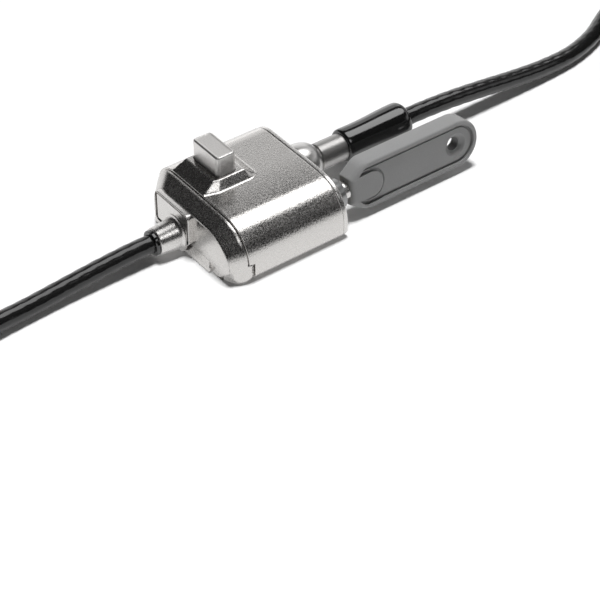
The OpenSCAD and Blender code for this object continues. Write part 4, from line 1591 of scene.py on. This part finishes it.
@dataclass
class Cables:
    """Both cables, with their eyes and the strap."""

    strand: Strand = field(default_factory=Strand)
    hank: Hank = field(default_factory=Hank)

    FREE = (
        (56.75, 3.8, 7.6), (62, 3.8, 7.6), (72, 3.8, 7.1), (84, 3.8, 5.9), (96, 3.8, 4.4), (108, 4, 3.2),
        (120, 5, 2.6), (131, 8, 2.6), (141, 13, 2.8), (151, 17.6, 3.1), (161, 19, 3.3), (170, 18.2, 3.4),
    )
    TAIL = (
        (201, 17.4, 20.7), (207, 17.2, 22.8), (213.4, 15.4, 25), (218.5, 11.9, 26), (221.8, 6.8, 26),
        (223, 0.9, 26), (221.8, -5, 26), (218.5, -10.1, 26), (213.4, -13.4, 26), (208.4, -14.7, 26),
    )
    LEAD = (
        (-26.55, 3, 4.6), (-32, 3, 4.6), (-42, 2.9, 4.1), (-53, 2.6, 3.4), (-64, 2, 3), (-75, 1.2, 3.4),
        (-81, 0.7, 3.8),
    )

    def lay(self, name: str, route: Sequence[Point3], body: str, nodes: Sequence[str], on_it: list) -> None:
        """Args:
            name: The piece's name.
            route: The points that it follows.
            body: The body that it rides on.
            nodes: The CAD nodes that it stands for.
            on_it: The pieces on the cable.
        """
        places = along(route, self.strand.step)
        cable = Piece(name, self.strand.solid(places), Finish.CABLE, body=body, sharp=60.0).make(*nodes)
        length = sum((b - a).length for a, b in zip(places, places[1:]))
        metres = [tuple(p * MM) for p in places]
        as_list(on_it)

    def build(self) -> None:
        """Builds the main cable with its hank and the lead on the plug."""
        tail_eye = LoopEye((204.8, -12, 26), -1, -1, "housing", "eye_ferrule")
        lead_eye = LoopEye((-82, -2, 3.8), -1, 1, "lead", "lead_ferrule")
        strap, crimp = self.hank.strap(), tail_eye.ferrule()
        route = [*self.FREE, *self.hank.route(), *self.TAIL, *tail_eye.route()]
        self.lay("main_cable", route, "housing", ("cable", "cable_hank", "cable_tail"), [crimp, strap])
        crimp = lead_eye.ferrule()
        self.lay("plug_cable", [*self.LEAD, *lead_eye.route()], "lead", ("lead_cable",), [crimp])


# ------------------------------------------------------------------ studio


@dataclass
class Studio:
    """The camera, the floor and the lights."""

    camera_at: Point3 = (-224.78, -322.88, 309.55)
    azimuth: float = -37.0
    elevation: float = 40.45
    lens: float = 115.5

    def build(self) -> None:
        """Sets the studio up."""
        self.camera()
        self.floor()
        self.world(0.025, 0.8)
        self.sun("key_light", (0.05, 0.08, 0.99), 3.2, 15.0, glossy=False)
        self.sun("soft_box", (0.42, 0.07, 0.90), 1.15, 40.0, diffuse=False)
        self.sun("top_box", (0.08, -0.64, 0.76), 0.26, 22.0, diffuse=False)
        self.sun("back_box", (0.46, 0.82, 0.34), 0.34, 40.0, diffuse=False)

    def camera(self) -> None:
        """Places the camera, which looks down on the lock from its front left."""
        data = bpy.data.cameras.new("camera")
        data.lens = self.lens
        data.sensor_width = 36.0
        data.clip_start, data.clip_end = 0.01, 100.0
        camera = bpy.data.objects.new("camera", data)
        bpy.context.scene.collection.objects.link(camera)
        a, e = radians(self.azimuth), radians(self.elevation)
        ahead = Vector((-sin(a) * cos(e), cos(a) * cos(e), -sin(e)))
        camera.location = Vector(self.camera_at) * MM
        camera.rotation_euler = ahead.to_track_quat("-Z", "Y").to_euler()
        bpy.context.scene.camera = camera

    def floor(self) -> None:
        """Lays the pale floor, which the camera and reflections see as white."""
        mesh = bpy.data.meshes.new("floor")
        reach = 12.0
        corners = [(-reach, -reach, 0.0), (reach, -reach, 0.0), (reach, reach, 0.0), (-reach, reach, 0.0)]
        mesh.from_pydata(corners, [], [(0, 1, 2, 3)])
        floor = bpy.data.objects.new("floor", mesh)
        bpy.context.scene.collection.objects.link(floor)
        work = Paint("floor_white")
        seen = work.node("ShaderNodeLightPath", output="Is Camera Ray")
        mirrored = work.node("ShaderNodeLightPath", output="Is Glossy Ray")
        through = work.node("ShaderNodeLightPath", output="Is Transmission Ray")
        reflected = mirrored + through
        cloud = work.noise(work.place(), 400.0, 2.0)
        tone = work.mix(cloud, grey(0.95), grey(0.97))
        glow = work.mix(reflected, grey(0.02), grey(0.34))
        work.shade(
            Base_Color=work.mix(reflected, tone, grey(0.62)),
            Roughness=0.8,
            Specular_IOR_Level=0.0,
            Emission_Color=work.mix(seen + reflected, grey(0.0), glow),
            Emission_Strength=1.0,
        )
        mesh.materials.append(work.material)

    def world(self, tone: float, glow: float) -> None:
        """Fills the room with an even grey, a pale backdrop low at the back and a panel at the right.

        Args:
            tone: The room's own grey.
            glow: The grey of the backdrop and the panel.
        """
        world = bpy.data.worlds.new("room")
        bpy.context.scene.world = world
        world.use_nodes = True
        room = Room(world)
        axes = ((1.0, 0.0, 0.0), (0.0, 1.0, 0.0), (0.0, 0.0, 1.0))
        right, back, height = (room.towards(axis) for axis in axes)
        low = room.ramp(height, [(0.10, 1.0), (0.24, 0.0)])
        band = room.ramp(height, [(0.27, 0.0), (0.32, 1.0), (0.52, 1.0), (0.60, 0.0)])
        behind = room.ramp(back, [(0.5, 0.0), (0.8, 1.0)])
        beside = room.ramp(right, [(0.58, 0.0), (0.68, 1.0)])
        shown = low * behind + band * beside
        colour = world.node_tree.nodes["Background"].inputs["Color"]
        room.feed(colour, room.mix(shown, grey(tone), grey(glow)))

    def sun(
        self,
        name: str,
        towards: Point3,
        strength: float,
        spread: float,
        glossy: bool = True,
        diffuse: bool = True,
    ) -> None:
        """Hangs a broad light far away.

        Args:
            name: The light's name.
            towards: The direction from the lock to the light.
            strength: The light on a surface that faces it.
            spread: The light's width as an angle, in degrees.
            glossy: Whether reflections show it.
            diffuse: Whether it lights matte surfaces.
        """
        data = bpy.data.lights.new(name, "SUN")
        data.energy = strength
        data.angle = radians(spread)
        light = bpy.data.objects.new(name, data)
        bpy.context.scene.collection.objects.link(light)
        light.rotation_euler = Vector(towards).to_track_quat("Z", "Y").to_euler()
        light.visible_glossy = glossy
        light.visible_diffuse = diffuse


def dress_nodes() -> None:
    """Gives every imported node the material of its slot."""
    by_slot = {finish.slot: finish for finish in reversed(Finish)}
    slots = {row["node"]: row["material_slot"] for row in frame["record"]["subparts"]}
    for name, node in frame["nodes"].items():
        node.data.materials.clear()
        node.data.materials.append(by_slot[slots[name]].material())


def main() -> None:
    """Builds the scene."""
    logging.basicConfig(level=logging.INFO, format="%(name)s %(message)s")
    bpy.context.scene.view_settings.view_transform = "Standard"
    Studio().build()
    Cables().build()
    dress_nodes()
    for assembly in (Housing(), Button(), KeyCylinder(), KeyGrip(), Fittings()):
        assembly.build()


if __name__ == "__main__":
    main()
